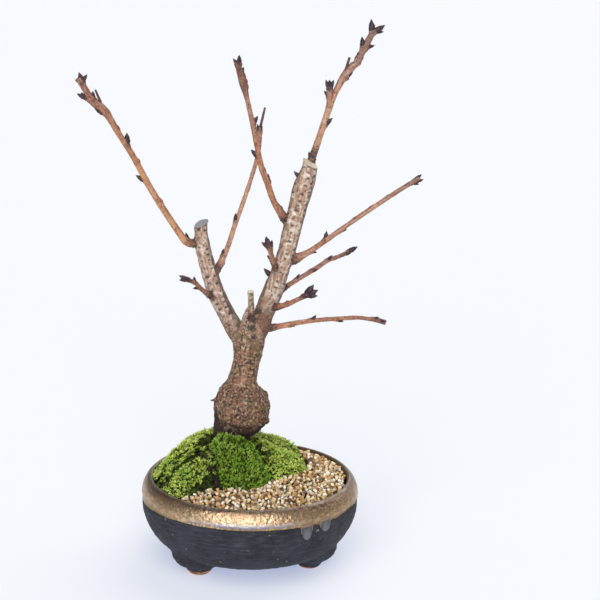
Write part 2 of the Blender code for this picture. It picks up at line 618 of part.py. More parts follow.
def point_along(stations, share):
    """Returns the place, direction and radius at a share of a branch's length."""
    places = [Vector(station[:3]) for station in stations]
    spans = [(b - a).length for a, b in zip(places, places[1:])]
    left = share * sum(spans)
    for index, span in enumerate(spans):
        if left <= span or index == len(spans) - 1:
            part = left / span
            radius = stations[index][3] * (1 - part) + stations[index + 1][3] * part
            direction = (places[index + 1] - places[index]).normalized()
            return places[index].lerp(places[index + 1], part), direction, radius
        left -= span


def bud(stations, share, side, lean, length):
    """A pointed winter bud that leans out from its branch."""
    place, direction, radius = point_along(stations, share)
    right = Vector((direction.z, 0.0, -direction.x)).normalized()
    front = right.cross(direction)
    turn = math.radians(side)
    out = right * math.cos(turn) + front * math.sin(turn)
    tilt = math.radians(lean)
    axis = direction * math.cos(tilt) + out * math.sin(tilt)
    bm = bmesh.new()
    bmesh.ops.create_uvsphere(bm, u_segments=BUD_SIDES, v_segments=BUD_RINGS, radius=0.5)
    width = length * BUD_WIDTH_SHARE
    for vertex in bm.verts:
        rise = vertex.co.z + 0.5
        taper = 1.0 - BUD_TAPER * rise
        vertex.co = Vector((vertex.co.x * width * taper, vertex.co.y * width * taper,
                            (rise - BUD_SINK) * length))
    spin = axis.to_track_quat("Z", "Y").to_matrix().to_4x4()
    start = place + out * radius * BUD_START
    bmesh.ops.transform(bm, matrix=Matrix.Translation(start) @ spin, verts=bm.verts)
    return object_from(bm, "bud")


def build_tree(finish):
    """The tree as it grew: one solid, from the stump in the soil to the last bud."""
    trunk = tube("trunk", TRUNK, TRUNK_ROUNDNESS, smooth=True)
    roughen(trunk, BURL_HEIGHT, BURL_SCALE, above=TRUNK[1][2])
    tree = object_from(trunk, "cherry_tree", finish)
    grown = []
    for name, stations in LIMBS.items():
        grown.append(object_from(tube(name, stations, LIMB_ROUNDNESS), name))
    for name, stations in WHIPS.items():
        grown.append(object_from(tube(name, stations, WHIP_ROUNDNESS), name))
    for name, stations in STALKS.items():
        grown.append(object_from(tube(name, stations, STALK_ROUNDNESS), name))
    branches = {**LIMBS, **WHIPS}
    for name, buds in BUDS.items():
        for share, side, lean, length in buds:
            grown.append(bud(branches[name], share, side, lean, length))
    combine(tree, grown)
    return tree


def main():
    """Clears the scene and builds every piece."""
    for old in list(bpy.data.objects):
        bpy.data.objects.remove(old)
    build_pot(material("fired_clay", (0.05, 0.05, 0.06), 0.7))
    build_drain_net(material("net_plastic", (0.02, 0.02, 0.02), 0.6))
    build_soil(material("soil", (0.09, 0.06, 0.04), 0.95))
    moss = material("moss", (0.16, 0.3, 0.04), 0.95)
    for name in MOSS_PADS:
        build_moss_pad(name, moss)
    build_gravel(material("gravel", (0.62, 0.5, 0.34), 0.85))
    build_tree(material("bark", (0.36, 0.26, 0.2), 0.8))


main()
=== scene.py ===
# %% [markdown]
# # A bare cherry bonsai in winter
#
# The real object is a young cherry tree with a swollen base, cut limbs and budded whips. It grows
# out of moss and fine gravel in a round, dark clay pot with a metallic glazed band and three feet.
# Each cell below builds one piece or one finish. The solids under it all are fixed: they give every
# piece its place and size, and this script gives them their looks.

import math

import bpy
import numpy as np
from mathutils import Euler, Matrix, Vector, noise
from mathutils.bvhtree import BVHTree


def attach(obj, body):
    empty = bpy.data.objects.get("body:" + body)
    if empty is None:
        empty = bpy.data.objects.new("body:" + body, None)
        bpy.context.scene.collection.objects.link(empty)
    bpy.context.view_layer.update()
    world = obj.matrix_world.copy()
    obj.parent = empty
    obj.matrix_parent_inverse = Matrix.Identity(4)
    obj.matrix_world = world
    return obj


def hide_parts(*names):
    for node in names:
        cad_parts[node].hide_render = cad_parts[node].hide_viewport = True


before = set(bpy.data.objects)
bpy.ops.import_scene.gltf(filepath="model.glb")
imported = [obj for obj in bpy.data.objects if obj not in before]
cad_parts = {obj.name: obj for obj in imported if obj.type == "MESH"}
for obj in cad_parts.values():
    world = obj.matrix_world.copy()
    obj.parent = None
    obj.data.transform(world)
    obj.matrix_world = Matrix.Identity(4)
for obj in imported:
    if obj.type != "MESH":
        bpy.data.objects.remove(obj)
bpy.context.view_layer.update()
MM = 0.001
# Every random choice starts from this number, so that each run builds the same object
RANDOM_START = 1207
draw = np.random.default_rng(RANDOM_START)
noise.seed_set(RANDOM_START)
print("nodes:", sorted(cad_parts))

# %% [markdown]
# ## The camera
#
# A photograph's camera can be found again from things whose shape is known. Here the pot's round
# rim and band, seen as ellipses, gave the height, the tilt and the distance. A long lens far away
# keeps the tree from leaning out at the top, as in a product photograph.

# %% Camera
CAMERA_PLACE = Vector((25.86, -1060.56, 442.88)) * MM
CAMERA_TILT_DOWN = 15.39
CAMERA_ROLL = 1.15
SENSOR_WIDTH = 36.0
LENS = 121.02

camera_data = bpy.data.cameras.new("camera")
camera_data.sensor_width = SENSOR_WIDTH
camera_data.lens = LENS
camera_data.clip_end = 50.0
camera = bpy.data.objects.new("camera", camera_data)
tilt = Euler((math.radians(90.0 - CAMERA_TILT_DOWN), 0.0, 0.0)).to_matrix()
roll = Matrix.Rotation(math.radians(CAMERA_ROLL), 3, "Z")
camera.matrix_world = Matrix.LocRotScale(CAMERA_PLACE, (tilt @ roll).to_quaternion(), None)
bpy.context.scene.collection.objects.link(camera)
bpy.context.scene.camera = camera
bpy.context.scene.view_settings.view_transform = "Standard"
print("camera is", round(CAMERA_PLACE.length, 3), "m from the pot")

# %% [markdown]
# ## A short way to write shader nodes
#
# A material is a graph of nodes, and making one in code takes many lines. These helpers add a node
# and set or link its sockets in one call, so that each finish below reads like a recipe.

# %% Node helpers
def fill(tree, node, values):
    """Sets or links a node's inputs, by name or number."""
    for key, value in values.items():
        if isinstance(value, bpy.types.NodeSocket):
            tree.links.new(value, node.inputs[key])
        else:
            node.inputs[key].default_value = value


def add(tree, kind, settings, values):
    """Adds a node, sets its options and fills its inputs."""
    new = tree.nodes.new(kind)
    for key, value in settings.items():
        setattr(new, key, value)
    fill(tree, new, values)
    return new


def maths(tree, operation, first, second=0.0, third=0.0):
    """A Math node's result, kept between 0 and 1."""
    settings = {"operation": operation, "use_clamp": True}
    return add(tree, "ShaderNodeMath", settings, {0: first, 1: second, 2: third}).outputs[0]


def blend_colours(tree, share, first, second):
    """The first colour at share 0, the second at share 1."""
    first = first if isinstance(first, bpy.types.NodeSocket) else (*first, 1.0)
    second = second if isinstance(second, bpy.types.NodeSocket) else (*second, 1.0)
    values = {0: share, 6: first, 7: second}
    return add(tree, "ShaderNodeMix", {"data_type": "RGBA"}, values).outputs[2]


def stretch_range(tree, value, low, high):
    """0 at low and below it, 1 at high and above it."""
    values = {"Value": value, "From Min": low, "From Max": high}
    return add(tree, "ShaderNodeMapRange", {"clamp": True}, values).outputs["Result"]


def colour_steps(tree, value, steps):
    """Reads a colour from (place, colour) steps."""
    ramp = add(tree, "ShaderNodeValToRGB", {}, {"Fac": value})
    elements = ramp.color_ramp.elements
    elements[0].position, elements[0].color = steps[0][0], (*steps[0][1], 1.0)
    elements[1].position, elements[1].color = steps[-1][0], (*steps[-1][1], 1.0)
    for place, colour in steps[1:-1]:
        elements.new(place).color = (*colour, 1.0)
    return ramp.outputs["Color"]


def value_steps(tree, value, steps):
    """Reads a value from (place, value) steps."""
    return colour_steps(tree, value, [(place, (grey, grey, grey)) for place, grey in steps])


def attribute(tree, name, output="Fac"):
    """A value that the mesh carries at each point."""
    return add(tree, "ShaderNodeAttribute", {"attribute_name": name}, {}).outputs[output]


def new_finish(name, roughness, specular=0.5, metallic=0.0):
    """A material, its tree, and where each point is on the object, in metres."""
    finish = bpy.data.materials.new(name)
    finish.use_nodes = True
    tree = finish.node_tree
    fill(tree, tree.nodes["Principled BSDF"],
         {"Roughness": roughness, "Specular IOR Level": specular, "Metallic": metallic})
    return finish, tree, add(tree, "ShaderNodeTexCoord", {}, {}).outputs["Object"]


print("node helpers are ready")

# %% [markdown]
# ## Floor and light
#
# The photograph was taken in a light tent: nearly white all round, with one soft shadow under the
# pot. A bright even world fills every shadow alike. Two wide suns from the front and one from behind
# add a direction, so that round limbs look round and the metallic glaze is bright in front and brown
# at the sides. The floor glows a little by itself, like a light table, which keeps its shadow pale.

# %% Floor, world and lamps
FLOOR_HALF_SIDE = 9.0
FLOOR_COLOUR = (0.54, 0.51, 0.375)
FLOOR_GLOW = (0.3705, 0.419, 0.6015)
WORLD_COLOUR = (0.95, 0.975, 1.0)
WORLD_STRENGTH = 0.25
WORLD_SEEN_EXTRA = 0.7
# Each lamp: the direction towards it, how wide it looks in degrees, and its strength
LAMPS = {
    "key_lamp": ((-0.12, -0.73, 0.67), 55.0, 1.9),
    "front_lamp": ((-0.05, -0.95, 0.30), 50.0, 1.15),
    "back_lamp": ((0.42, 0.58, 0.70), 70.0, 1.3),
}

floor_mesh = bpy.data.meshes.new("floor")
floor_corners = [(x * FLOOR_HALF_SIDE, y * FLOOR_HALF_SIDE, 0.0)
                 for x, y in ((-1, -1), (1, -1), (1, 1), (-1, 1))]
floor_mesh.from_pydata(floor_corners, [], [(0, 1, 2, 3)])
floor = bpy.data.objects.new("floor", floor_mesh)
bpy.context.scene.collection.objects.link(floor)
floor_finish, floor_tree, _ = new_finish("floor_paper", roughness=1.0, specular=0.0)
fill(floor_tree, floor_tree.nodes["Principled BSDF"],
     {"Base Color": (*FLOOR_COLOUR, 1.0), "Emission Color": (*FLOOR_GLOW, 1.0),
      "Emission Strength": 1.0})
floor_mesh.materials.append(floor_finish)

# The tent looks brighter than it lights, so that a low view has a pale background too
world = bpy.data.worlds.new("tent")
world.use_nodes = True
seen = add(world.node_tree, "ShaderNodeLightPath", {}, {}).outputs["Is Camera Ray"]
brightness = add(world.node_tree, "ShaderNodeMath", {"operation": "MULTIPLY_ADD"},
                 {0: seen, 1: WORLD_SEEN_EXTRA, 2: WORLD_STRENGTH}).outputs[0]
fill(world.node_tree, world.node_tree.nodes["Background"],
     {"Color": (*WORLD_COLOUR, 1.0), "Strength": brightness})
bpy.context.scene.world = world

for name, (towards, width, strength) in LAMPS.items():
    lamp_data = bpy.data.lights.new(name, "SUN")
    lamp_data.angle = math.radians(width)
    lamp_data.energy = strength
    lamp = bpy.data.objects.new(name, lamp_data)
    spin = Vector(towards).to_track_quat("Z", "Y")
    lamp.matrix_world = Matrix.LocRotScale(Vector(towards), spin, None)
    bpy.context.scene.collection.objects.link(lamp)
print("lamps:", list(LAMPS))

# %% [markdown]
# ## Effects that several finishes share
#
# Clay, glaze, bark, gravel and soil all have cloudy patches, small specks and a fine relief. Each
# effect is one node group with its own inputs, so it is built once and tuned where it is placed.
# The streaks follow a branch: they read a coordinate that runs round and along it.

# %% Shared effects
def new_effect(name, inputs, output):
    """An empty node group with its inputs and one output."""
    group = bpy.data.node_groups.new(name, "ShaderNodeTree")
    for label, value in inputs.items():
        kind = "NodeSocketVector" if value is None else "NodeSocketFloat"
        socket = group.interface.new_socket(label, in_out="INPUT", socket_type=kind)
        if value is not None:
            socket.default_value = value
    group.interface.new_socket(output, in_out="OUTPUT", socket_type="NodeSocketFloat")
    return group, group.nodes.new("NodeGroupInput").outputs, group.nodes.new("NodeGroupOutput")


def make_patches():
    """Soft cloudy patches: 0 outside, 1 inside."""
    inputs = {"Vector": None, "Scale": 60.0, "Low": 0.4, "High": 0.6}
    group, given, out = new_effect("patches", inputs, "Mask")
    values = {"Vector": given["Vector"], "Scale": given["Scale"], "Detail": 4.0}
    cloud = add(group, "ShaderNodeTexNoise", {}, values).outputs["Fac"]
    mask = stretch_range(group, cloud, given["Low"], given["High"])
    group.links.new(mask, out.inputs[0])
    return group


def make_specks():
    """Small round specks in a share of the cells."""
    inputs = {"Vector": None, "Scale": 900.0, "Size": 0.3, "Share": 0.2}
    group, given, out = new_effect("specks", inputs, "Mask")
    values = {"Vector": given["Vector"], "Scale": given["Scale"]}
    cells = add(group, "ShaderNodeTexVoronoi", {}, values)
    rim = maths(group, "MULTIPLY", given["Size"], 0.6)
    dot = stretch_range(group, cells.outputs["Distance"], given["Size"], rim)
    channels = add(group, "ShaderNodeSeparateColor", {}, {"Color": cells.outputs["Color"]})
    kept = maths(group, "LESS_THAN", channels.outputs[0], given["Share"])
    group.links.new(maths(group, "MULTIPLY", dot, kept), out.inputs[0])
    return group


def make_relief():
    """A fine uneven surface, as a height."""
    inputs = {"Vector": None, "Scale": 900.0, "Grit": 0.5}
    group, given, out = new_effect("relief", inputs, "Height")
    values = {"Vector": given["Vector"], "Scale": given["Scale"], "Detail": 5.0}
    waves = add(group, "ShaderNodeTexNoise", {}, values).outputs["Fac"]
    cells = add(group, "ShaderNodeTexVoronoi", {},
                {"Vector": given["Vector"], "Scale": given["Scale"]}).outputs["Distance"]
    mixed = add(group, "ShaderNodeMix", {}, {0: given["Grit"], 2: waves, 3: cells})
    group.links.new(mixed.outputs[0], out.inputs[0])
    return group


def make_streaks():
    """Long streaks that run along a branch."""
    inputs = {"Vector": None, "Scale": 1.0, "Stretch": 0.1, "Low": 0.4, "High": 0.6}
    group, given, out = new_effect("streaks", inputs, "Mask")
    squeeze = add(group, "ShaderNodeCombineXYZ", {}, {0: 1.0, 1: given["Stretch"], 2: 1.0})
    values = {0: given["Vector"], 1: squeeze.outputs[0]}
    drawn = add(group, "ShaderNodeVectorMath", {"operation": "MULTIPLY"}, values).outputs[0]
    values = {"Vector": drawn, "Scale": given["Scale"], "Detail": 3.0}
    cloud = add(group, "ShaderNodeTexNoise", {}, values).outputs["Fac"]
    mask = stretch_range(group, cloud, given["Low"], given["High"])
    group.links.new(mask, out.inputs[0])
    return group


patches = make_patches()
specks = make_specks()
relief = make_relief()
streaks = make_streaks()
print("effects:", [group.name for group in (patches, specks, relief, streaks)])

# %% [markdown]
# A few steps come back in nearly every finish: a mask of clouds, specks or streaks, a tint laid over
# a colour by a share of a mask, and at the end the shader's colour with its fine relief.

# %% Steps that every finish uses
def use(tree, group, values):
    """Places a shared effect in a material."""
    return add(tree, "ShaderNodeGroup", {"node_tree": group}, values).outputs[0]


def cloudy(tree, where, scale, low, high):
    """A mask of cloudy patches."""
    return use(tree, patches, {"Vector": where, "Scale": scale, "Low": low, "High": high})


def speckled(tree, where, scale, size, share):
    """A mask of small round specks."""
    return use(tree, specks, {"Vector": where, "Scale": scale, "Size": size, "Share": share})


def streaked(tree, grain, scale, stretch, low, high):
    """A mask of streaks along a branch."""
    return use(tree, streaks, {"Vector": grain, "Scale": scale, "Stretch": stretch, "Low": low,
                               "High": high})


def tinted(tree, colour, mask, share, tint):
    """A tint over a colour, by a share of a mask."""
    return blend_colours(tree, maths(tree, "MULTIPLY", mask, share), colour, tint)


def finished(finish, colour, where, scale, grit, depth_mm, others=None):
    """The last step: the shader's colour, its fine relief, and any other inputs."""
    tree = finish.node_tree
    height = use(tree, relief, {"Vector": where, "Scale": scale, "Grit": grit})
    waves = add(tree, "ShaderNodeBump", {}, {"Height": height, "Distance": depth_mm * MM})
    fill(tree, tree.nodes["Principled BSDF"],
         {"Base Color": colour, "Normal": waves.outputs["Normal"], **(others or {})})
    return finish


print("steps for finishes are ready")

# %% [markdown]
# ## Mesh helpers
#
# Most pieces here are built as lists of points and triangles in millimetres, because thousands of
# blades or stones are quick to place that way. A piece can carry values at its points, such as how
# old the bark is, and its material reads them.

# %% Meshes from arrays
def make_piece(name, part, finish, smooth=True, sharp=None):
    """An object from points in millimetres, triangles, and any values at its points."""
    points, triangles, *values = part
    mesh = bpy.data.meshes.new(name)
    mesh.from_pydata((points * MM).tolist(), [], triangles.tolist())
    for label, numbers in (values[0] if values else {}).items():
        numbers = np.asarray(numbers, np.float32)
        kind, field = ("FLOAT", "value") if numbers.ndim == 1 else ("FLOAT_VECTOR", "vector")
        mesh.attributes.new(label, kind, "POINT").data.foreach_set(field, numbers.ravel())
    if smooth:
        mesh.shade_smooth()
    if sharp:
        mesh.set_sharp_from_angle(angle=math.radians(sharp))
    mesh.materials.append(finish)
    piece = bpy.data.objects.new(name, mesh)
    bpy.context.scene.collection.objects.link(piece)
    print(name, len(mesh.vertices), "points,", len(mesh.polygons), "triangles")
    return piece


def arrays_of(mesh):
    """A mesh's points in millimetres and its triangles."""
    points = np.zeros(len(mesh.vertices) * 3, np.float32)
    mesh.vertices.foreach_get("co", points)
    mesh.calc_loop_triangles()
    triangles = np.zeros(len(mesh.loop_triangles) * 3, np.int32)
    mesh.loop_triangles.foreach_get("vertices", triangles)
    return points.reshape(-1, 3).astype(float) / MM, triangles.reshape(-1, 3)


def join_parts(parts):
    """One part from many: points, triangles and, where they carry any, values at the points."""
    points = np.vstack([part[0] for part in parts])
    starts = np.cumsum([0] + [len(part[0]) for part in parts])
    triangles = np.vstack([part[1] + start for part, start in zip(parts, starts)])
    if len(parts[0]) == 2:
        return points, triangles
    return points, triangles, {label: np.concatenate([part[2][label] for part in parts])
                               for label in parts[0][2]}


print("array helpers are ready")


# %% Skins: normals, smoothing and remeshing
def normals_of(points, triangles):
    """The outward direction at each point."""
    corners = points[triangles]
    across = np.cross(corners[:, 1] - corners[:, 0], corners[:, 2] - corners[:, 0])
    normals = np.zeros_like(points)
    for column in range(3):
        np.add.at(normals, triangles[:, column], across)
    return normals / np.maximum(np.linalg.norm(normals, axis=1), 1e-9)[:, None]


def smoothed(points, triangles, rounds, strength=0.5):
    """Moves each point towards the middle of its neighbours, then a little back."""
    ends = np.vstack([triangles[:, [0, 1]], triangles[:, [1, 2]], triangles[:, [2, 0]]])
    near = np.concatenate([ends[:, 0], ends[:, 1]])
    far = np.concatenate([ends[:, 1], ends[:, 0]])
    count = np.bincount(near, minlength=len(points))[:, None]
    for turn in range(2 * rounds):
        total = np.stack([np.bincount(near, weights=points[far, axis], minlength=len(points))
                          for axis in range(3)], axis=1)
        pull = strength if turn % 2 == 0 else -1.04 * strength
        points = points + pull * (total / np.maximum(count, 1) - points)
    return points


def remeshed(points, triangles, voxel_mm):
    """One even skin round everything that the triangles close in."""
    mesh = bpy.data.meshes.new("rough")
    mesh.from_pydata((points * MM).tolist(), [], triangles.tolist())
    rough = bpy.data.objects.new("rough", mesh)
    bpy.context.scene.collection.objects.link(rough)
    modifier = rough.modifiers.new("remesh", "REMESH")
    modifier.mode = "VOXEL"
    modifier.voxel_size = voxel_mm * MM
    seen = rough.evaluated_get(bpy.context.evaluated_depsgraph_get())
    even = bpy.data.meshes.new_from_object(seen)
    result = arrays_of(even)
    bpy.data.objects.remove(rough)
    bpy.data.meshes.remove(mesh)
    bpy.data.meshes.remove(even)
    return result


print("skin helpers are ready")


# %% Turned forms and tubes
def strung(rings, ends=None):
    """A skin over rings of points. It closes on two end points, or else on its first ring."""
    rows, sides = rings.shape[:2]
    low, side = np.meshgrid(np.arange(rows if ends is None else rows - 1), np.arange(sides),
                            indexing="ij")
    above, after = (low + 1) % rows, (side + 1) % sides
    a, b = low * sides + side, low * sides + after
    c, d = above * sides + after, above * sides + side
    points = rings.reshape(-1, 3)
    triangles = [np.stack(corners, -1).reshape(-1, 3) for corners in ((a, b, c), (a, c, d))]
    if ends is not None:
        first = np.arange(sides)
        last = first + (rows - 1) * sides
        hub = np.full(sides, len(points))
        triangles += [np.stack([np.roll(first, -1), first, hub], -1),
                      np.stack([last, np.roll(last, -1), hub + 1], -1)]
        points = np.vstack([points, ends])
    return points, np.vstack(triangles)


def lathe(outline, segments, closed=True, centre=(0.0, 0.0)):
    """Turns radius and height pairs round an upright axis, on which an open outline ends."""
    angles = 2 * math.pi * np.arange(segments) / segments
    outline = np.asarray(outline, float)
    rings = np.stack([centre[0] + outline[:, :1] * np.cos(angles),
                      centre[1] + outline[:, :1] * np.sin(angles),
                      np.repeat(outline[:, 1:], segments, axis=1)], axis=2)
    ends = [(*centre, outline[0, 1]), (*centre, outline[-1, 1])]
    return strung(rings, None if closed else ends)


def along_and_round(line):
    """A line's directions, two arms square to it at each point, and the length so far."""
    places = line[:, :3]
    ahead = np.gradient(places, axis=0)
    ahead /= np.linalg.norm(ahead, axis=1)[:, None]
    arm = np.array([1.0, 0.0, 0.0])
    arms = []
    for direction in ahead:
        arm = arm - direction * arm.dot(direction)
        arm /= np.linalg.norm(arm)
        arms.append(arm)
    arms = np.array(arms)
    gone = np.concatenate([[0.0], np.cumsum(np.linalg.norm(np.diff(places, axis=0), axis=1))])
    return ahead, arms, np.cross(ahead, arms), gone


def tube(line, sides):
    """A closed round tube along a line of x, y, z and radius."""
    _, arms, others, _ = along_and_round(line)
    angles = 2 * math.pi * np.arange(sides) / sides
    spokes = (arms[:, None] * np.cos(angles)[None, :, None]
              + others[:, None] * np.sin(angles)[None, :, None])
    return strung(line[:, None, :3] + spokes * line[:, None, 3:4], line[[0, -1], :3])


def rounded(outline, step):
    """A smooth line through an outline's points, with a point about every step."""
    known = np.asarray(outline, float)
    padded = np.vstack([2 * known[0] - known[1], known, 2 * known[-1] - known[-2]])
    line = []
    for before, start, end, after in zip(padded, padded[1:], padded[2:], padded[3:]):
        count = max(1, round(float(np.linalg.norm((end - start)[:3])) / step))
        for share in np.arange(count) / count:
            line.append(0.5 * (2 * start + (end - before) * share
                               + (2 * before - 5 * start + 4 * end - after) * share ** 2
                               + (3 * start - before - 3 * end + after) * share ** 3))
    return np.array(line + [known[-1]])


print("lathe and tube are ready")


# %% Measures over points
def distances(points, place):
    """How far each point is from a place."""
    return np.linalg.norm(points - np.asarray(place), axis=1)


def soft_spot(points, place, radii):
    """1 over a place in plan, and less with distance, whatever the height."""
    aside = (points[:, 0] - place[0]) / radii[0]
    ahead = (points[:, 1] - place[1]) / radii[1]
    return np.exp(-aside ** 2 - ahead ** 2)


def noise_at(points, scale, octaves=1):
    """Smooth noise from about -1 to 1 at each point."""
    if octaves == 1:
        return np.array([noise.noise(Vector(point) * scale) for point in points])
    return np.array([noise.fractal(Vector(point) * scale, 1.0, 2.0, octaves)
                     for point in points])


def ease(value, low, high):
    """0 at low, 1 at high, and smooth between."""
    share = np.clip((value - low) / (high - low), 0.0, 1.0)
    return share * share * (3.0 - 2.0 * share)


print("measures are ready")

# %% [markdown]
# ## The pot's clay body
#
# The body is dark stoneware, turned on a wheel and left rough, with three short feet pressed on
# underneath. A turned outline alone would leave a hard seam where a foot meets the bowl. So the
# bowl and feet are closed solids that overlap, and one even skin is drawn round them all and
# smoothed, which leaves a soft fillet like wet clay rubbed with a thumb.

# %% Clay body
POT_OUTER = [(37.5, 9.4), (42.4, 10.2), (46.6, 11.8), (50.1, 14.2), (53.2, 17.2), (56.0, 21.4),
             (58.4, 26.4), (59.7, 31.2), (60.0, 36.0), (59.5, 38.9)]
BAND_OUTER = [(60.3, 40.2), (60.1, 42.8), (59.0, 45.8), (57.3, 48.2), (55.8, 49.4)]
POT_INNER = [(54.6, 49.2), (54.0, 47.6), (54.4, 42.0), (54.2, 34.0), (51.6, 25.0), (46.6, 18.0),
             (40.0, 14.2), (33.0, 12.8)]
DRAIN_RADIUS = 7.5
GLAZE_DEPTH = 0.6
FOOT_CIRCLE = 35.7
FOOT_ANGLES = (-48.7, 71.3, 191.3)
FOOT_OUTLINE = [(4.4, 0.0), (5.6, 0.7), (7.2, 2.6), (8.1, 4.8), (10.4, 5.6), (13.0, 7.4),
                (14.9, 10.2), (15.4, 13.0), (14.6, 15.6), (11.5, 17.6)]
CLAY_VOXEL = 0.9
CLAY_ROUGHNESS_MM = 0.22


def clay_outline():
    """Up the outer side, under the glaze, over the lip and down the inner side to the drain."""
    under_glaze = [(radius - GLAZE_DEPTH, height - GLAZE_DEPTH / 2)
                   for radius, height in BAND_OUTER[:-1]]
    lip = [(55.4, 48.6)]
    inner = [(radius, min(height, 48.4)) for radius, height in POT_INNER]
    floor_edge = [(DRAIN_RADIUS, POT_INNER[-1][1]), (DRAIN_RADIUS, POT_OUTER[0][1])]
    return np.vstack([rounded(POT_OUTER, 1.5), under_glaze, lip, inner, floor_edge])


def build_clay():
    """Bowl and feet in one rough skin."""
    parts = [lathe(clay_outline(), 192)]
    for angle in FOOT_ANGLES:
        turn = math.radians(angle)
        centre = (FOOT_CIRCLE * math.sin(turn), -FOOT_CIRCLE * math.cos(turn))
        parts.append(lathe(rounded(FOOT_OUTLINE, 1.0), 48, closed=False, centre=centre))
    points, triangles = remeshed(*join_parts(parts), CLAY_VOXEL)
    points = smoothed(points, triangles, 4)
    free = ease(points[:, 2], 1.0, 3.0) * (1.0 - ease(points[:, 2], 38.0, 40.0))
    outside = np.hypot(points[:, 0], points[:, 1]) > 38.0
    rough = CLAY_ROUGHNESS_MM * (noise_at(points, 0.35, 2) + 0.8 * noise_at(points, 0.9))
    points += normals_of(points, triangles) * (rough * free * outside)[:, None]
    return points, triangles


clay_part = build_clay()
print("clay:", len(clay_part[0]), "points")


# %% Clay finish
def clay_finish():
    """Charcoal clay with a blue cast, pale grit, and bare orange clay where the feet stand."""
    finish, tree, where = new_finish("charcoal_clay", roughness=0.72, specular=0.3)
    cloud = cloudy(tree, where, scale=70.0, low=0.35, high=0.65)
    colour = blend_colours(tree, cloud, (0.012, 0.013, 0.020), (0.028, 0.030, 0.042))
    dust = cloudy(tree, where, scale=300.0, low=0.52, high=0.74)
    colour = tinted(tree, colour, dust, 0.5, (0.055, 0.052, 0.056))
    # The throwing left level lines all round
    level = add(tree, "ShaderNodeVectorMath", {"operation": "MULTIPLY"},
                {0: where, 1: (0.22, 0.22, 1.7)}).outputs[0]
    thrown = cloudy(tree, level, scale=600.0, low=0.50, high=0.68)
    colour = tinted(tree, colour, thrown, 0.45, (0.070, 0.070, 0.080))
    grit = speckled(tree, where, scale=420.0, size=0.25, share=0.10)
    colour = blend_colours(tree, grit, colour, (0.20, 0.19, 0.17))
    chips = speckled(tree, where, scale=135.0, size=0.14, share=0.16)
    colour = tinted(tree, colour, chips, 0.6, (0.22, 0.20, 0.17))
    spot = add(tree, "ShaderNodeSeparateXYZ", {}, {0: where})
    height = spot.outputs["Z"]
    # The left foot was wiped cleaner than the others
    wander = stretch_range(tree, spot.outputs["X"], -0.005, -0.020)
    fringe = cloudy(tree, where, scale=500.0, low=0.3, high=0.7)
    edge = maths(tree, "MULTIPLY_ADD", wander, 0.0014, 0.0012)
    edge = maths(tree, "MULTIPLY_ADD", fringe, 0.0006, edge)
    bare = maths(tree, "LESS_THAN", height, edge)
    blotch = cloudy(tree, where, scale=380.0, low=0.45, high=0.6)
    fired = blend_colours(tree, blotch, (0.50, 0.24, 0.125), (0.17, 0.075, 0.042))
    scorched = maths(tree, "LESS_THAN", height, maths(tree, "ADD", edge, 0.0007))
    colour = tinted(tree, colour, scorched, 0.7, (0.060, 0.022, 0.014))
    colour = blend_colours(tree, bare, colour, fired)
    return finished(finish, colour, where, scale=620.0, grit=0.45, depth_mm=0.5)


clay = make_piece("clay_body", clay_part, clay_finish())
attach(clay, "root")
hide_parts("pot")

# %% [markdown]
# ## The glazed band and its drips
#
# A metallic glaze was brushed over the rim. It is thick, so it stands a little proud of the clay,
# its lower edge wanders, and at the front right it ran down in two glassy drips. The band is a
# turned shell of its own. Its lower edge is pulled up or down by an angle-dependent amount, and
# each drip pulls it down steeply over a few degrees.

# %% Band shape
BAND_SEGMENTS = 720
BAND_LOW = 39.2
BAND_STRETCH_TOP = 43.2
BAND_WANDER_MM = 0.3
# How far the band's lower edge hangs below BAND_LOW: angle from +X in degrees, and millimetres
BAND_EDGE = [(-180.0, 1.6), (-164.0, 1.9), (-143.5, 0.6), (-115.0, -0.1), (-67.0, -0.1), (-37.6, 0.8),
             (-22.7, -0.9), (-6.5, 1.3), (15.0, 0.2), (90.0, 0.6), (180.0, 1.6)]
# Each drip: angle from +X in degrees, how far it ran, half its width in degrees, and bulge
DRIPS = [(-57.8, 7.4, 3.5, 0.75), (-45.6, 4.4, 3.8, 0.65)]


def band_section():
    """The band's cross-section, from its lower edge over the lip to the inner side and back."""
    outer = rounded([(59.9, BAND_LOW)] + BAND_OUTER, 0.7)
    lip = np.array([(55.3, 49.5), (54.9, 49.45)])
    inner = np.array([(54.6, 49.2), (54.2, 48.4), (53.9, 47.2), (54.0, 45.6)])
    back = np.array([(55.0, 45.6), (55.6, 47.2), (56.4, 47.4), (57.8, 45.4), (58.9, 42.6),
                     (59.2, 40.4), (59.0, BAND_LOW + 0.2)])
    return np.vstack([outer, lip, inner, back])


def clay_radius(height):
    """The clay's outer radius at a height."""
    radii, heights = np.array(POT_OUTER + BAND_OUTER).T
    return np.interp(height, heights, radii)


def drip_shares(angles):
    """How far into each drip an angle is: 1 in its middle, 0 outside."""
    shares = []
    for middle, _, half_width, _ in DRIPS:
        away = (np.degrees(angles) - middle + 180.0) % 360.0 - 180.0
        shares.append(np.clip(1.0 - (away / half_width) ** 2, 0.0, 1.0) ** 0.5)
    return shares


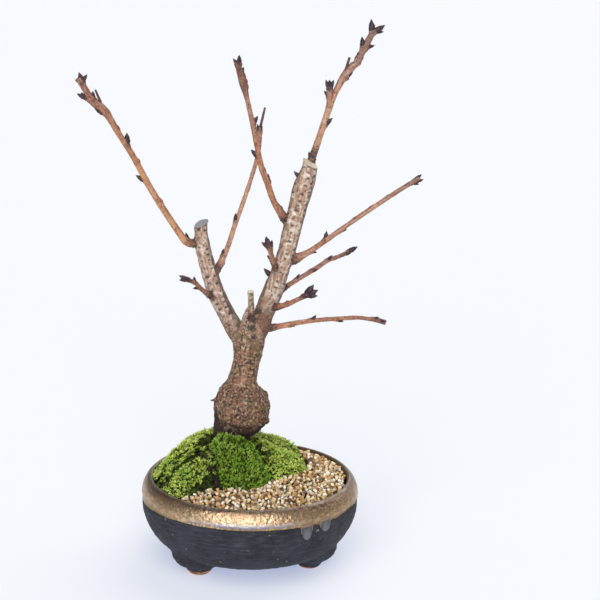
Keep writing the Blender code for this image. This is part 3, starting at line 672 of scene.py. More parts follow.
def build_band():
    """The shell, its wandering edge and its drips, with a mask of the glassy parts."""
    points, triangles = lathe(band_section(), BAND_SEGMENTS)
    angles = np.arctan2(points[:, 1], points[:, 0])
    radii = np.hypot(points[:, 0], points[:, 1])
    heights = points[:, 2].copy()
    round_pot = np.stack([np.cos(angles), np.sin(angles), np.zeros_like(angles)], 1)
    right_side = ease(-np.abs(np.degrees(angles) + 25.0), -50.0, -15.0)
    wander = noise_at(round_pot, 6.0, 3) * BAND_WANDER_MM * (1.0 + 2.2 * right_side)
    pull = 1.0 - ease(heights, BAND_LOW + 0.4, BAND_STRETCH_TOP)
    edge_angles, edge_drops = np.array(BAND_EDGE).T
    drop = (wander + np.interp(np.degrees(angles), edge_angles, edge_drops)) * pull
    glass = np.zeros_like(angles)
    bulge = np.zeros_like(angles)
    outside = radii > 57.0
    for share, (_, run, _, proud) in zip(drip_shares(angles), DRIPS):
        drop += share * run * pull
        glass = np.maximum(glass, share * ease(-heights, -42.5, -41.0))
        bulge += proud * share * pull * outside
    heights = heights - drop
    # Below the band's own edge the glaze lies on the clay
    hang = outside & (heights < 40.2)
    skin = clay_radius(heights) + np.where(radii > 59.5, 0.25, -0.5)
    radii = np.where(hang, skin, radii) + bulge
    points = np.stack([radii * np.cos(angles), radii * np.sin(angles), heights], 1)
    return points, triangles, {"glass": glass}


band_part = build_band()
print("band, lowest point:", round(float(band_part[0][:, 2].min()), 1), "mm")

# %% [markdown]
# The glaze is one material. From its lower edge up it shows a thin olive line, a silvery lavender
# streak in front, partly where it pooled and partly a painted highlight, mottled copper and gold,
# and a worn pale lip. The height on the pot picks the colour, and cloudy patches break it up. It is
# metallic, so it mirrors the tent, and its wavy skin breaks the reflections into gold flecks. A
# painted highlight of pale gold lies over the front as well.

# %% Band finish
def glaze_finish():
    """Mottled copper glaze that turns silvery below and glassy in the drips, with a painted highlight in
    front.
    """
    finish, tree, where = new_finish("copper_glaze", roughness=0.36, metallic=0.9)
    spot = add(tree, "ShaderNodeSeparateXYZ", {}, {0: where})
    soft = cloudy(tree, where, scale=90.0, low=0.25, high=0.75)
    shift = add(tree, "ShaderNodeMath", {"operation": "MULTIPLY_ADD"},
                {0: soft, 1: 0.0012, 2: spot.outputs["Z"]}).outputs[0]
    level = stretch_range(tree, shift, 0.0385, 0.0505)
    olive, gold, brown = (0.24, 0.16, 0.04), (0.43, 0.285, 0.165), (0.31, 0.20, 0.13)
    dusk, lip = (0.12, 0.085, 0.065), (0.27, 0.23, 0.20)
    steps = [(0.0, olive), (0.19, olive), (0.25, gold), (0.62, gold), (0.78, brown),
             (0.90, dusk), (0.95, lip), (1.0, lip)]
    colour = colour_steps(tree, level, steps)
    # The pooled, silvery part lies only in front, a little to the left: partly glaze that pooled, partly a
    # painted highlight
    front = stretch_range(tree, spot.outputs["Y"], -0.044, -0.055)
    aside = maths(tree, "MULTIPLY", stretch_range(tree, spot.outputs["X"], 0.031, 0.018),
                  stretch_range(tree, spot.outputs["X"], -0.037, -0.027))
    pooled_glaze_and_highlight = value_steps(tree, level, [(0.19, 0.0), (0.24, 1.0), (0.34, 1.0), (0.46, 0.0)])
    pooled_glaze_and_highlight = maths(tree, "MULTIPLY", maths(tree, "MULTIPLY", front, aside), pooled_glaze_and_highlight)
    worn = cloudy(tree, where, scale=210.0, low=0.42, high=0.62)
    colour = tinted(tree, colour, worn, 0.45, (0.19, 0.115, 0.065))
    # Gold flecks, few at the sides, and over the front a painted highlight of pale gold, strongest
    # left of the middle
    in_front = stretch_range(tree, spot.outputs["Y"], -0.030, -0.046)
    across = stretch_range(tree, spot.outputs["X"], -0.045, 0.045)
    painted_highlight_across = value_steps(tree, across, [(0.02, 0.35), (0.15, 1.0), (0.33, 1.0), (0.42, 0.3),
                                        (0.56, 0.2), (0.62, 0.55), (0.76, 0.5), (0.92, 0.1)])
    painted_highlight_front = maths(tree, "MULTIPLY", in_front, painted_highlight_across)
    in_light = value_steps(tree, level, [(0.25, 0.9), (0.40, 1.0), (0.60, 1.0), (0.78, 0.3),
                                         (0.88, 0.0)])
    painted_highlight = maths(tree, "MULTIPLY", painted_highlight_front, in_light)
    bright = cloudy(tree, where, scale=850.0, low=0.30, high=0.66)
    gold_flecks_and_highlight = maths(tree, "MULTIPLY", bright, maths(tree, "MULTIPLY_ADD", painted_highlight, 0.85, 0.10))
    colour = blend_colours(tree, gold_flecks_and_highlight, colour, (0.95, 0.69, 0.43))
    coppery = cloudy(tree, where, scale=900.0, low=0.50, high=0.68)
    colour = tinted(tree, colour, coppery, 0.42, (0.22, 0.105, 0.04))
    streaky = cloudy(tree, where, scale=240.0, low=0.38, high=0.56)
    silver = colour_steps(tree, level, [(0.26, (0.22, 0.21, 0.29)), (0.36, (0.60, 0.56, 0.55))])
    pooled_glaze_and_highlight = maths(tree, "MULTIPLY", pooled_glaze_and_highlight, maths(tree, "MULTIPLY_ADD", streaky, 0.6, 0.35))
    colour = blend_colours(tree, pooled_glaze_and_highlight, colour, silver)
    burnt = speckled(tree, where, scale=520.0, size=0.35, share=0.2)
    colour = tinted(tree, colour, burnt, 0.55, dusk)
    glass = attribute(tree, "glass")
    glassy = colour_steps(tree, glass, [(0.0, dusk), (0.35, (0.34, 0.23, 0.15)),
                                        (0.62, (0.070, 0.065, 0.070)), (1.0, (0.13, 0.135, 0.155))])
    colour = blend_colours(tree, stretch_range(tree, glass, 0.02, 0.2), colour, glassy)
    matt = maths(tree, "MULTIPLY_ADD", worn, 0.12, 0.28)
    others = {"Roughness": maths(tree, "MULTIPLY_ADD", glass, -0.22, matt),
              "Metallic": maths(tree, "MULTIPLY_ADD", glass, -0.7, 0.9)}
    return finished(finish, colour, where, scale=480.0, grit=0.25, depth_mm=0.75, others=others)


band = make_piece("glaze_band", band_part, glaze_finish())
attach(band, "root")
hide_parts("pot")

# %% [markdown]
# ## Bark on trunk and limbs
#
# The tree was cut hard years ago and healed. Below, a burl of old cracked bark bulges over the
# root. Above it a ringed neck carries two limbs with smooth, silvery cherry bark, each sawn off.
# Separate tubes would show where they pass through each other. So the tubes are merged into one
# skin, and every point of that skin then looks up which branch it lies on, how far along and how
# far round. Rings, pores and streaks all follow those two numbers.

# %% Branch lines
TRUNK = [(-9.6, 10.0, 56.5, 7.2), (-9.6, 10.0, 64.0, 7.6), (-9.2, 10.0, 70.0, 8.0),
         (-8.2, 10.0, 73.5, 9.2), (-6.7, 10.0, 76.5, 12.0), (-6.0, 10.0, 79.5, 14.5),
         (-5.7, 10.0, 84.0, 15.3), (-5.5, 10.0, 89.0, 15.4), (-5.9, 10.0, 93.3, 13.9),
         (-5.8, 10.0, 96.8, 10.9), (-5.6, 10.0, 99.4, 9.0),
         (-5.3, 10.0, 102.0, 7.9), (-4.4, 10.0, 106.0, 7.7), (-3.4, 10.0, 112.0, 7.3),
         (-2.4, 10.0, 118.0, 8.2), (-2.1, 10.0, 124.0, 8.9), (-1.9, 10.0, 129.0, 8.4),
         (-1.6, 10.0, 133.0, 6.0)]
LIMBS = {
    "left_limb": [
        (-3.5, 10.0, 121.5, 5.6), (-9.2, 9.0, 130.5, 5.3), (-14.3, 7.5, 140.0, 4.8),
        (-19.2, 6.0, 150.0, 4.8), (-22.9, 4.5, 161.0, 4.5), (-25.7, 3.0, 171.0, 4.2),
        (-27.7, 1.6, 181.0, 4.1), (-28.4, 0.7, 188.0, 3.6), (-28.5, 0.1, 196.0, 3.5)],
    "right_limb": [
        (-1.0, 10.0, 121.5, 5.6), (3.0, 11.0, 130.5, 5.6), (6.4, 12.0, 140.5, 5.5),
        (10.6, 13.0, 151.5, 5.7), (14.6, 14.0, 163.5, 5.0), (18.2, 15.3, 175.0, 4.9),
        (20.6, 16.4, 186.0, 5.1), (23.2, 17.5, 197.0, 5.1), (25.4, 18.4, 206.0, 5.5),
        (27.6, 19.1, 213.5, 5.4), (29.4, 19.8, 219.0, 4.4), (30.6, 20.2, 226.5, 3.9)],
    "stub": [
        (-0.6, 9.0, 128.0, 3.6), (-0.4, 7.8, 136.0, 3.0), (-0.5, 7.5, 140.0, 1.7),
        (-1.0, 7.3, 147.0, 1.7), (-1.4, 7.0, 154.0, 1.7)],
}
WOOD_STEP = 0.8
WOOD_VOXEL = 0.42

wood_lines = {"trunk": rounded(TRUNK, WOOD_STEP)}
for name, stations in LIMBS.items():
    wood_lines[name] = rounded(stations, WOOD_STEP)
print({name: len(line) for name, line in wood_lines.items()}, "points along the wood's lines")

# %% Whip lines
# Each station: x, y, z and the radius there, in millimetres
WHIPS = {
    "left_whip": [
        (-28.6, 1.0, 181.5, 2.4), (-35.7, -0.5, 182.3, 2.2), (-40.5, -2.0, 188.5, 2.0),
        (-48.2, -5.0, 201.1, 1.9), (-56.2, -8.5, 215.4, 1.8), (-63.4, -12.0, 230.3, 1.7),
        (-71.4, -16.0, 244.6, 1.7), (-78.2, -20.5, 257.2, 2.1), (-83.7, -23.5, 262.6, 1.8),
        (-87.4, -26.5, 269.0, 1.8), (-90.4, -28.5, 275.0, 1.7)],
    "left_shoot": [(-81.6, -20.8, 258.6, 1.5), (-85.3, -22.3, 261.8, 1.2), (-88.0, -23.5, 264.3, 1.1)],
    "back_whip": [
        (-21.0, 5.0, 163.5, 2.0), (-17.8, 8.2, 169.3, 1.9), (-14.3, 11.5, 177.0, 1.5),
        (-10.6, 16.0, 188.5, 1.4), (-5.8, 21.5, 202.0, 1.3), (-2.1, 26.0, 213.3, 1.2),
        (0.8, 30.2, 223.7, 1.3), (1.8, 33.6, 232.6, 1.4), (1.6, 36.0, 239.0, 1.6)],
    "cross_whip": [
        (20.5, 17.0, 186.5, 2.4), (16.1, 15.5, 193.5, 2.3), (10.7, 13.0, 202.5, 1.8),
        (6.8, 10.0, 213.8, 1.8), (3.3, 7.3, 224.0, 1.7), (0.8, 4.0, 236.6, 1.5),
        (-1.7, 0.8, 249.6, 1.5), (-4.3, -2.3, 261.4, 1.4), (-6.3, -4.5, 269.6, 2.2),
        (-8.2, -6.2, 276.3, 1.8), (-9.4, -8.0, 282.0, 1.7)],
    "leader": [
        (30.2, 25.5, 215.2, 2.0), (31.4, 25.0, 225.7, 1.7), (34.0, 23.8, 234.5, 1.9),
        (37.2, 23.0, 245.3, 1.9), (40.0, 24.1, 254.1, 1.9), (43.1, 25.2, 262.0, 1.8),
        (48.3, 26.5, 271.4, 2.3), (53.9, 27.4, 277.4, 1.9), (57.1, 28.3, 283.6, 1.9),
        (60.3, 29.1, 289.8, 1.8), (63.5, 30.0, 295.3, 1.6)],
    "leader_spur": [(39.6, 24.2, 252.5, 1.7), (39.6, 22.0, 260.4, 1.6), (39.5, 19.5, 265.5, 1.5)],
    "right_long": [
        (18.8, 15.0, 168.4, 2.4), (23.8, 12.8, 171.3, 2.5), (30.5, 10.0, 175.9, 1.7),
        (39.3, 6.5, 183.1, 1.6), (50.0, 3.0, 192.2, 1.4), (60.8, -0.5, 201.1, 1.4),
        (71.4, -3.0, 209.3, 1.3), (80.8, -4.5, 216.2, 1.3), (88.4, -5.5, 221.3, 1.2)],
    "right_back": [
        (13.1, 14.0, 150.8, 1.8), (16.9, 17.0, 153.0, 1.6), (24.1, 22.3, 156.5, 1.4),
        (32.5, 28.6, 160.3, 1.4), (41.1, 34.9, 164.6, 1.3), (49.0, 40.1, 166.6, 1.2),
        (54.6, 44.0, 168.7, 1.2)],
    "right_short": [
        (9.4, 11.0, 143.0, 2.0), (13.4, 7.6, 144.7, 1.8), (19.1, 2.7, 147.7, 1.5),
        (25.5, -3.3, 152.6, 1.3), (30.4, -8.0, 156.3, 1.5)],
    "right_low": [
        (4.1, 10.0, 130.3, 2.2), (9.0, 10.3, 131.6, 2.0), (16.8, 12.3, 132.7, 1.7),
        (26.7, 14.9, 134.1, 1.5), (37.7, 17.7, 134.9, 1.3), (49.5, 20.6, 135.1, 1.3),
        (58.4, 22.9, 135.1, 1.2), (65.2, 24.6, 133.9, 1.2), (70.9, 26.0, 132.4, 1.4),
        (73.9, 26.7, 131.6, 1.6)],
    "left_spur": [
        (-19.1, 5.0, 148.6, 1.7), (-22.4, 1.8, 151.4, 1.6), (-27.2, -3.2, 156.4, 1.3),
        (-31.0, -7.5, 161.3, 1.2), (-35.9, -12.0, 164.8, 1.2)],
    "mid_spur": [
        (14.0, 13.0, 160.8, 1.9), (12.0, 10.2, 166.4, 1.6), (10.3, 7.4, 172.2, 1.5),
        (8.7, 4.2, 178.6, 1.4), (7.7, 2.0, 183.2, 1.3)],
}
STALKS = {
    "left_stalk": [(-78.6, -20.5, 257.8, 0.8), (-82.3, -24.5, 268.3, 0.6)],
    "back_stalk": [(1.8, 36.0, 238.0, 0.8), (4.5, 38.0, 250.0, 0.6)],
    "leader_stalk": [(47.8, 26.0, 272.5, 0.8), (50.0, 24.5, 280.5, 0.7)],
}
WHIP_STEP = 0.5
print("whips:", len(WHIPS), "and stalks:", len(STALKS))

# %% Where the buds sit
# Buds: share of the way along the branch, side in degrees (0 right, 90 front, 180 left, 270
# back, as seen from the front looking along the branch), lean away from it in degrees, and length
BUDS = {
    "left_whip": [
        (0.07, 345, 25, 5.0), (0.30, 270, 20, 4.0), (0.42, 195, 35, 6.5), (0.52, 270, 20, 4.5),
        (0.61, 340, 30, 7.5), (0.70, 265, 20, 4.0), (0.79, 195, 40, 6.5), (0.88, 330, 30, 5.0),
        (0.98, 0, 60, 5.5), (0.98, 20, 20, 4.5), (0.98, 315, 12, 6.0), (0.98, 195, 35, 3.5)],
    "left_shoot": [(0.96, 225, 20, 5.5), (0.96, 290, 15, 4.0)],
    "back_whip": [
        (0.03, 140, 20, 4.0), (0.09, 320, 15, 4.0), (0.13, 145, 25, 4.5), (0.37, 145, 25, 5.0),
        (0.60, 280, 25, 4.5), (0.98, 35, 20, 4.0), (0.98, 130, 15, 4.5)],
    "cross_whip": [
        (0.14, 325, 10, 4.0), (0.31, 335, 20, 5.0), (0.38, 270, 20, 4.5), (0.46, 195, 35, 6.5),
        (0.56, 270, 25, 4.0), (0.65, 350, 40, 5.5), (0.75, 265, 20, 4.0), (0.86, 350, 25, 3.5),
        (0.89, 340, 25, 4.5), (0.93, 345, 30, 4.5), (0.99, 205, 25, 4.0), (0.99, 340, 12, 5.5),
        (0.99, 60, 12, 4.5)],
    "leader": [
        (0.10, 185, 25, 5.5), (0.22, 270, 20, 4.0), (0.34, 10, 30, 6.5), (0.45, 260, 25, 4.5),
        (0.66, 10, 20, 6.0), (0.72, 195, 20, 4.0), (0.78, 350, 20, 4.5), (0.80, 165, 15, 4.5),
        (0.87, 175, 35, 7.0), (0.87, 355, 20, 4.0), (0.88, 5, 50, 5.5), (0.93, 270, 25, 4.5),
        (0.98, 178, 36, 8.0), (0.99, 8, 26, 7.5), (0.99, 10, 62, 5.5)],
    "leader_spur": [
        (0.54, 195, 40, 4.5), (0.92, 225, 30, 5.5), (0.92, 320, 30, 5.5), (0.95, 270, 10, 5.0)],
    "right_long": [
        (0.17, 345, 45, 4.0), (0.30, 190, 45, 5.5), (0.41, 340, 25, 4.0), (0.53, 270, 25, 4.0),
        (0.66, 280, 20, 3.5), (0.78, 265, 25, 4.0), (0.95, 355, 45, 4.0), (0.97, 345, 20, 5.0),
        (0.98, 205, 10, 4.5)],
    "right_back": [
        (0.27, 150, 45, 4.0), (0.47, 75, 25, 4.0), (0.58, 270, 25, 3.5), (0.69, 130, 35, 4.5),
        (0.78, 280, 25, 3.5), (0.90, 65, 30, 4.0), (0.96, 110, 30, 6.5), (0.98, 250, 20, 4.0)],
    "right_short": [
        (0.45, 280, 30, 5.0), (0.88, 260, 30, 5.5), (0.96, 225, 30, 8.5), (0.98, 285, 22, 7.5),
        (0.98, 345, 28, 6.5)],
    "right_low": [
        (0.24, 350, 25, 3.5), (0.41, 170, 45, 4.5), (0.52, 270, 25, 3.5), (0.61, 25, 20, 4.5),
        (0.74, 265, 20, 3.5), (0.90, 170, 35, 4.0), (0.95, 130, 10, 5.0)],
    "left_spur": [
        (0.58, 190, 55, 4.0), (0.76, 340, 50, 4.0), (0.95, 215, 45, 5.0), (0.96, 255, 30, 5.5),
        (0.96, 60, 20, 4.0)],
    "mid_spur": [(0.47, 210, 35, 4.5), (0.80, 325, 30, 5.5), (0.84, 255, 12, 7.5), (0.84, 195, 42, 5.5)],
    "right_limb": [(0.29, 340, 40, 3.5), (0.37, 180, 62, 6.5), (0.885, 175, 60, 5.0)],
    "stub": [(0.48, 180, 40, 4.0)],
}
print("buds on", len(BUDS), "branches:", sum(map(len, BUDS.values())))


# %% Where a point lies on the wood
# Points looked up at a time, so that the table of distances stays small
LOOKUP_BATCH = 4000


def find_on_wood(points):
    """For each point: its branch's number, the length along it, the arc round it, its height
    over the bark, and its distance outside the wood."""
    lines = list(wood_lines.values())
    parts = [along_and_round(line) for line in lines]
    stack = [np.vstack([part[index] for part in parts]) for index in range(3)]
    gone = np.concatenate([part[3] for part in parts])
    owner = np.concatenate([np.full(len(line), index) for index, line in enumerate(lines)])
    places = np.vstack(lines)
    found = np.zeros(len(points), int)
    outside = np.zeros(len(points))
    for start in range(0, len(points), LOOKUP_BATCH):
        batch = slice(start, start + LOOKUP_BATCH)
        some = points[batch]
        away = np.linalg.norm(some[:, None] - places[None, :, :3], axis=2) - places[None, :, 3]
        found[batch] = away.argmin(axis=1)
        outside[batch] = away.min(axis=1)
    offset = points - places[found, :3]
    ahead, arm, other = (array[found] for array in stack)
    angle = np.arctan2((offset * other).sum(1), (offset * arm).sum(1))
    along = gone[found] + (offset * ahead).sum(1)
    return owner[found], along, angle, places[found, 3], outside


print("lookup over", list(wood_lines), "is ready")

# %% [markdown]
# The stump isn't smooth underneath: roots as thick as pencils run down its side into the moss. They
# are more tubes, which follow the trunk's own outline, and the same skin is drawn round them. Four
# snags are added in the same way: a broken one at the left, a pointed lobe at the right, one thick
# root down the left side, and a fold of bark beside the stub.

# %% Roots and snags
ROOT_COUNT = 30
ROOT_TOP = 79.0
ROOT_BOTTOM = 61.0
ROOT_STEP = 3.0
SNAGS = [[(-19.5, 8.0, 90.2, 1.3), (-21.7, 7.4, 89.9, 0.8), (-22.9, 7.0, 89.7, 0.4)],
         [(7.0, 8.0, 81.5, 1.9), (8.4, 7.6, 79.0, 1.5), (8.9, 7.5, 76.9, 0.7)],
         [(-16.2, 7.6, 85.0, 4.2), (-16.6, 7.2, 78.0, 4.4), (-16.6, 7.0, 72.0, 4.4),
          (-15.6, 7.0, 64.0, 4.4)],
         [(-5.2, 6.5, 134.0, 1.7), (-4.0, 6.2, 138.5, 1.7), (-3.0, 6.2, 142.0, 1.3),
          (-2.3, 6.5, 144.2, 0.8)]]


def trunk_at(height):
    """The trunk's middle and radius at a height."""
    known = wood_lines["trunk"]
    return [np.interp(height, known[:, 2], known[:, column]) for column in (0, 1, 3)]


def root_tubes():
    """Closed tubes for the roots round the stump, and for the snags."""
    tubes = []
    for number in range(ROOT_COUNT):
        turn = 2 * math.pi * (number + draw.uniform(-0.4, 0.4)) / ROOT_COUNT
        thick = draw.uniform(0.8, 1.9)
        out = draw.uniform(-0.3, 0.5)
        stations = []
        for height in np.arange(ROOT_TOP, ROOT_BOTTOM, -ROOT_STEP):
            turn += draw.uniform(-0.07, 0.07)
            out += draw.uniform(-0.35, 0.35)
            x, y, radius = trunk_at(height)
            away = min(radius - 1.6, 10.6) + out
            stations.append((x + away * math.cos(turn), y + away * math.sin(turn), height, thick))
            thick *= 0.93
        tubes.append(tube(rounded(stations, WOOD_STEP), 10))
    for stations in SNAGS:
        tubes.append(tube(rounded(stations, 0.5), 12))
    return tubes


print("roots:", ROOT_COUNT, "and", len(SNAGS), "snags")

# %% [markdown]
# The relief of the bark is a height at each point. Old bark is broken into plates by deep cracks,
# with wandering ridges between, and the neck is wrinkled like a sleeve. Smooth bark gets pores:
# cherries breathe through short dashes that lie across the branch, in rough columns. Knots are
# round whorls, and each whip leaves a dark wrinkled patch where it grows out of the wood.

# %% Knots, marks and depths
# Each knot: x, y, z on the bark, its radius and its height
KNOTS = [(-14.0, -3.7, 82.9, 3.3, 0.8), (-0.1, -3.3, 95.3, 3.0, -1.0), (5.5, -0.9, 89.4, 3.6, 0.6),
         (-12.6, -4.7, 89.4, 3.4, 0.5), (-16.0, 20.0, 88.0, 3.8, 0.9), (6.0, 19.0, 84.0, 3.4, -0.8),
         (-8.0, 25.0, 92.0, 3.0, 0.8), (-20.5, 15.0, 84.0, 3.2, 0.6), (9.0, 12.0, 90.0, 3.2, -0.6)]
# Each mark on the bark: x, y, z, its radius, and what it is
MARKS = [(-12.6, -4.7, 87.4, 3.6, "rosy"), (-4.7, 1.1, 104.2, 3.2, "rosy"),
         (6.1, 7.4, 146.8, 2.0, "rosy"), (5.5, 7.0, 133.5, 6.5, "rosy"),
         (-14.0, -3.7, 82.9, 2.6, "olive"), (2.3, -3.1, 81.9, 2.2, "olive"),
         (5.5, -0.9, 89.4, 3.0, "olive"), (-29.3, -2.9, 189.6, 1.7, "olive"),
         (-1.6, 5.7, 148.0, 3.8, "olive"), (6.2, 6.7, 143.0, 1.5, "grey"),
         (-2.9, -2.4, 99.6, 2.4, "grey"), (-0.1, -3.3, 95.0, 2.6, "dark"),
         (-19.2, 1.5, 76.5, 4.2, "dark"), (-21.0, 6.0, 80.0, 3.6, "dark"), (3.4, 7.5, 141.6, 2.2, "dark"),
         (-0.9, 5.7, 138.5, 3.4, "dark"), (-0.4, 4.5, 133.5, 3.4, "dark"), (0.8, 2.4, 128.5, 2.0, "dark"),
         (0.1, 5.1, 67.9, 3.0, "dark"), (-3.9, 1.4, 126.5, 1.5, "pale"), (-4.6, 1.6, 122.5, 1.3, "pale"),
         (-3.2, -4.5, 93.3, 1.5, "pale"), (-14.0, 19.0, 95.0, 3.5, "rosy"), (-3.0, 26.0, 86.0, 3.0, "olive"),
         (5.0, 19.0, 84.0, 2.6, "dark"), (-20.0, 15.0, 79.0, 3.0, "dark"), (-9.0, 18.0, 118.0, 3.0, "rosy"),
         (-15.0, 12.5, 141.0, 2.2, "dark"), (14.0, 18.5, 160.0, 2.0, "grey")]
# Branches are numbered: 0 trunk, 1 left limb, 2 right limb, 3 stub. How many millimetres further
# up each one the old bark reaches:
OLD_BARK_RISE = np.array([0.0, 0.0, 10.0, 8.0])
# Branches painted darker near the fork, as shade in the crotch: number, share, and the heights
# from which it fades
FORK_PAINTED_SHADE = [(2, 0.6, 120.0, 165.0), (3, 0.5, 122.0, 134.0)]
PORE_COLUMNS = 7
PORE_GAP = (2.6, 5.2)
PORE_HALF_WIDTH = 0.72
PORE_HALF_HEIGHT = 0.46
PORE_DEPTH = 0.14
CRACK_DEPTH = 0.35
RIDGE_HEIGHT = 0.62
WRINKLE_HEIGHT = 0.32
# Heights between which one kind of bark gives way to the next
ROOT_TO_BALL = (69.0, 75.0)
BALL_BOTTOM = (67.0, 72.0)
BALL_TOP = (96.0, 102.0)
OLD_TO_YOUNG = (126.0, 142.0)
# Heights where the painted shade under the burl fades out
UNDERSIDE_SHADE_END = (78.0, 84.0)
# The bark ends at this height in front, and higher at the sides, where black root shows: partly
# the root's own colour, partly painted shade under the burl
BARK_END = 76.0
print("knots:", len(KNOTS), "and marks:", len(MARKS))


# %% Patterns on the bark
def pore_mask(owner, along, angle, radius):
    """1 in the middle of a pore, 0 away from all of them. The pores stand in rough columns."""
    mask = np.zeros(len(along))
    for number, line in enumerate(wood_lines.values()):
        if number == 0:
            continue
        length = along_and_round(line)[3][-1]
        here = np.nonzero(owner == number)[0]
        for column in range(PORE_COLUMNS):
            turn = 2 * math.pi * (column + draw.uniform(-0.3, 0.3)) / PORE_COLUMNS
            at = draw.uniform(2.0, 6.0)
            while at < length - 1.0:
                size = draw.choice([0.8, 1.0, 1.3, 1.6])
                turn += draw.uniform(-0.12, 0.12)
                round_it = (angle[here] - turn + math.pi) % (2 * math.pi) - math.pi
                across = round_it * radius[here] / (PORE_HALF_WIDTH * size)
                along_it = (along[here] - at) / (PORE_HALF_HEIGHT * size)
                mask[here] = np.maximum(mask[here], np.exp(-across ** 4 - along_it ** 4))
                at += draw.uniform(*PORE_GAP)
    return mask


def bent(points, scale, reach):
    """The points moved a little by a slow noise, so that patterns on them wander."""
    return points + reach * np.array([tuple(noise.noise_vector(Vector(point) * scale))
                                      for point in points])


def ridges(points, octaves):
    """Sharp ridges from 0 to about 1."""
    values = [noise.ridged_multi_fractal(Vector(point), 1.0, 2.1, octaves, 1.0, 1.6)
              for point in points]
    return np.clip(np.array(values) / 1.6, 0.0, 1.3)


def from_border(points):
    """How far each point is from the border between two cells: 0 on it."""
    nearest_two = np.array([noise.voronoi(Vector(point))[0][:2] for point in points])
    return nearest_two[:, 1] - nearest_two[:, 0]


def collar_mask(points):
    """1 where a whip grows out of the wood, 0 away from all of them."""
    mask = np.zeros(len(points))
    for stations in WHIPS.values():
        line = rounded(stations, WHIP_STEP)
        outside = find_on_wood(line[:, :3])[4]
        out_at = int(np.argmax(outside > -0.2))
        if outside[0] < 0.0:
            away = distances(points, line[out_at, :3])
            mask = np.maximum(mask, np.exp(-(away / (line[out_at, 3] + 1.1)) ** 4))
    return mask


print("patterns are ready")


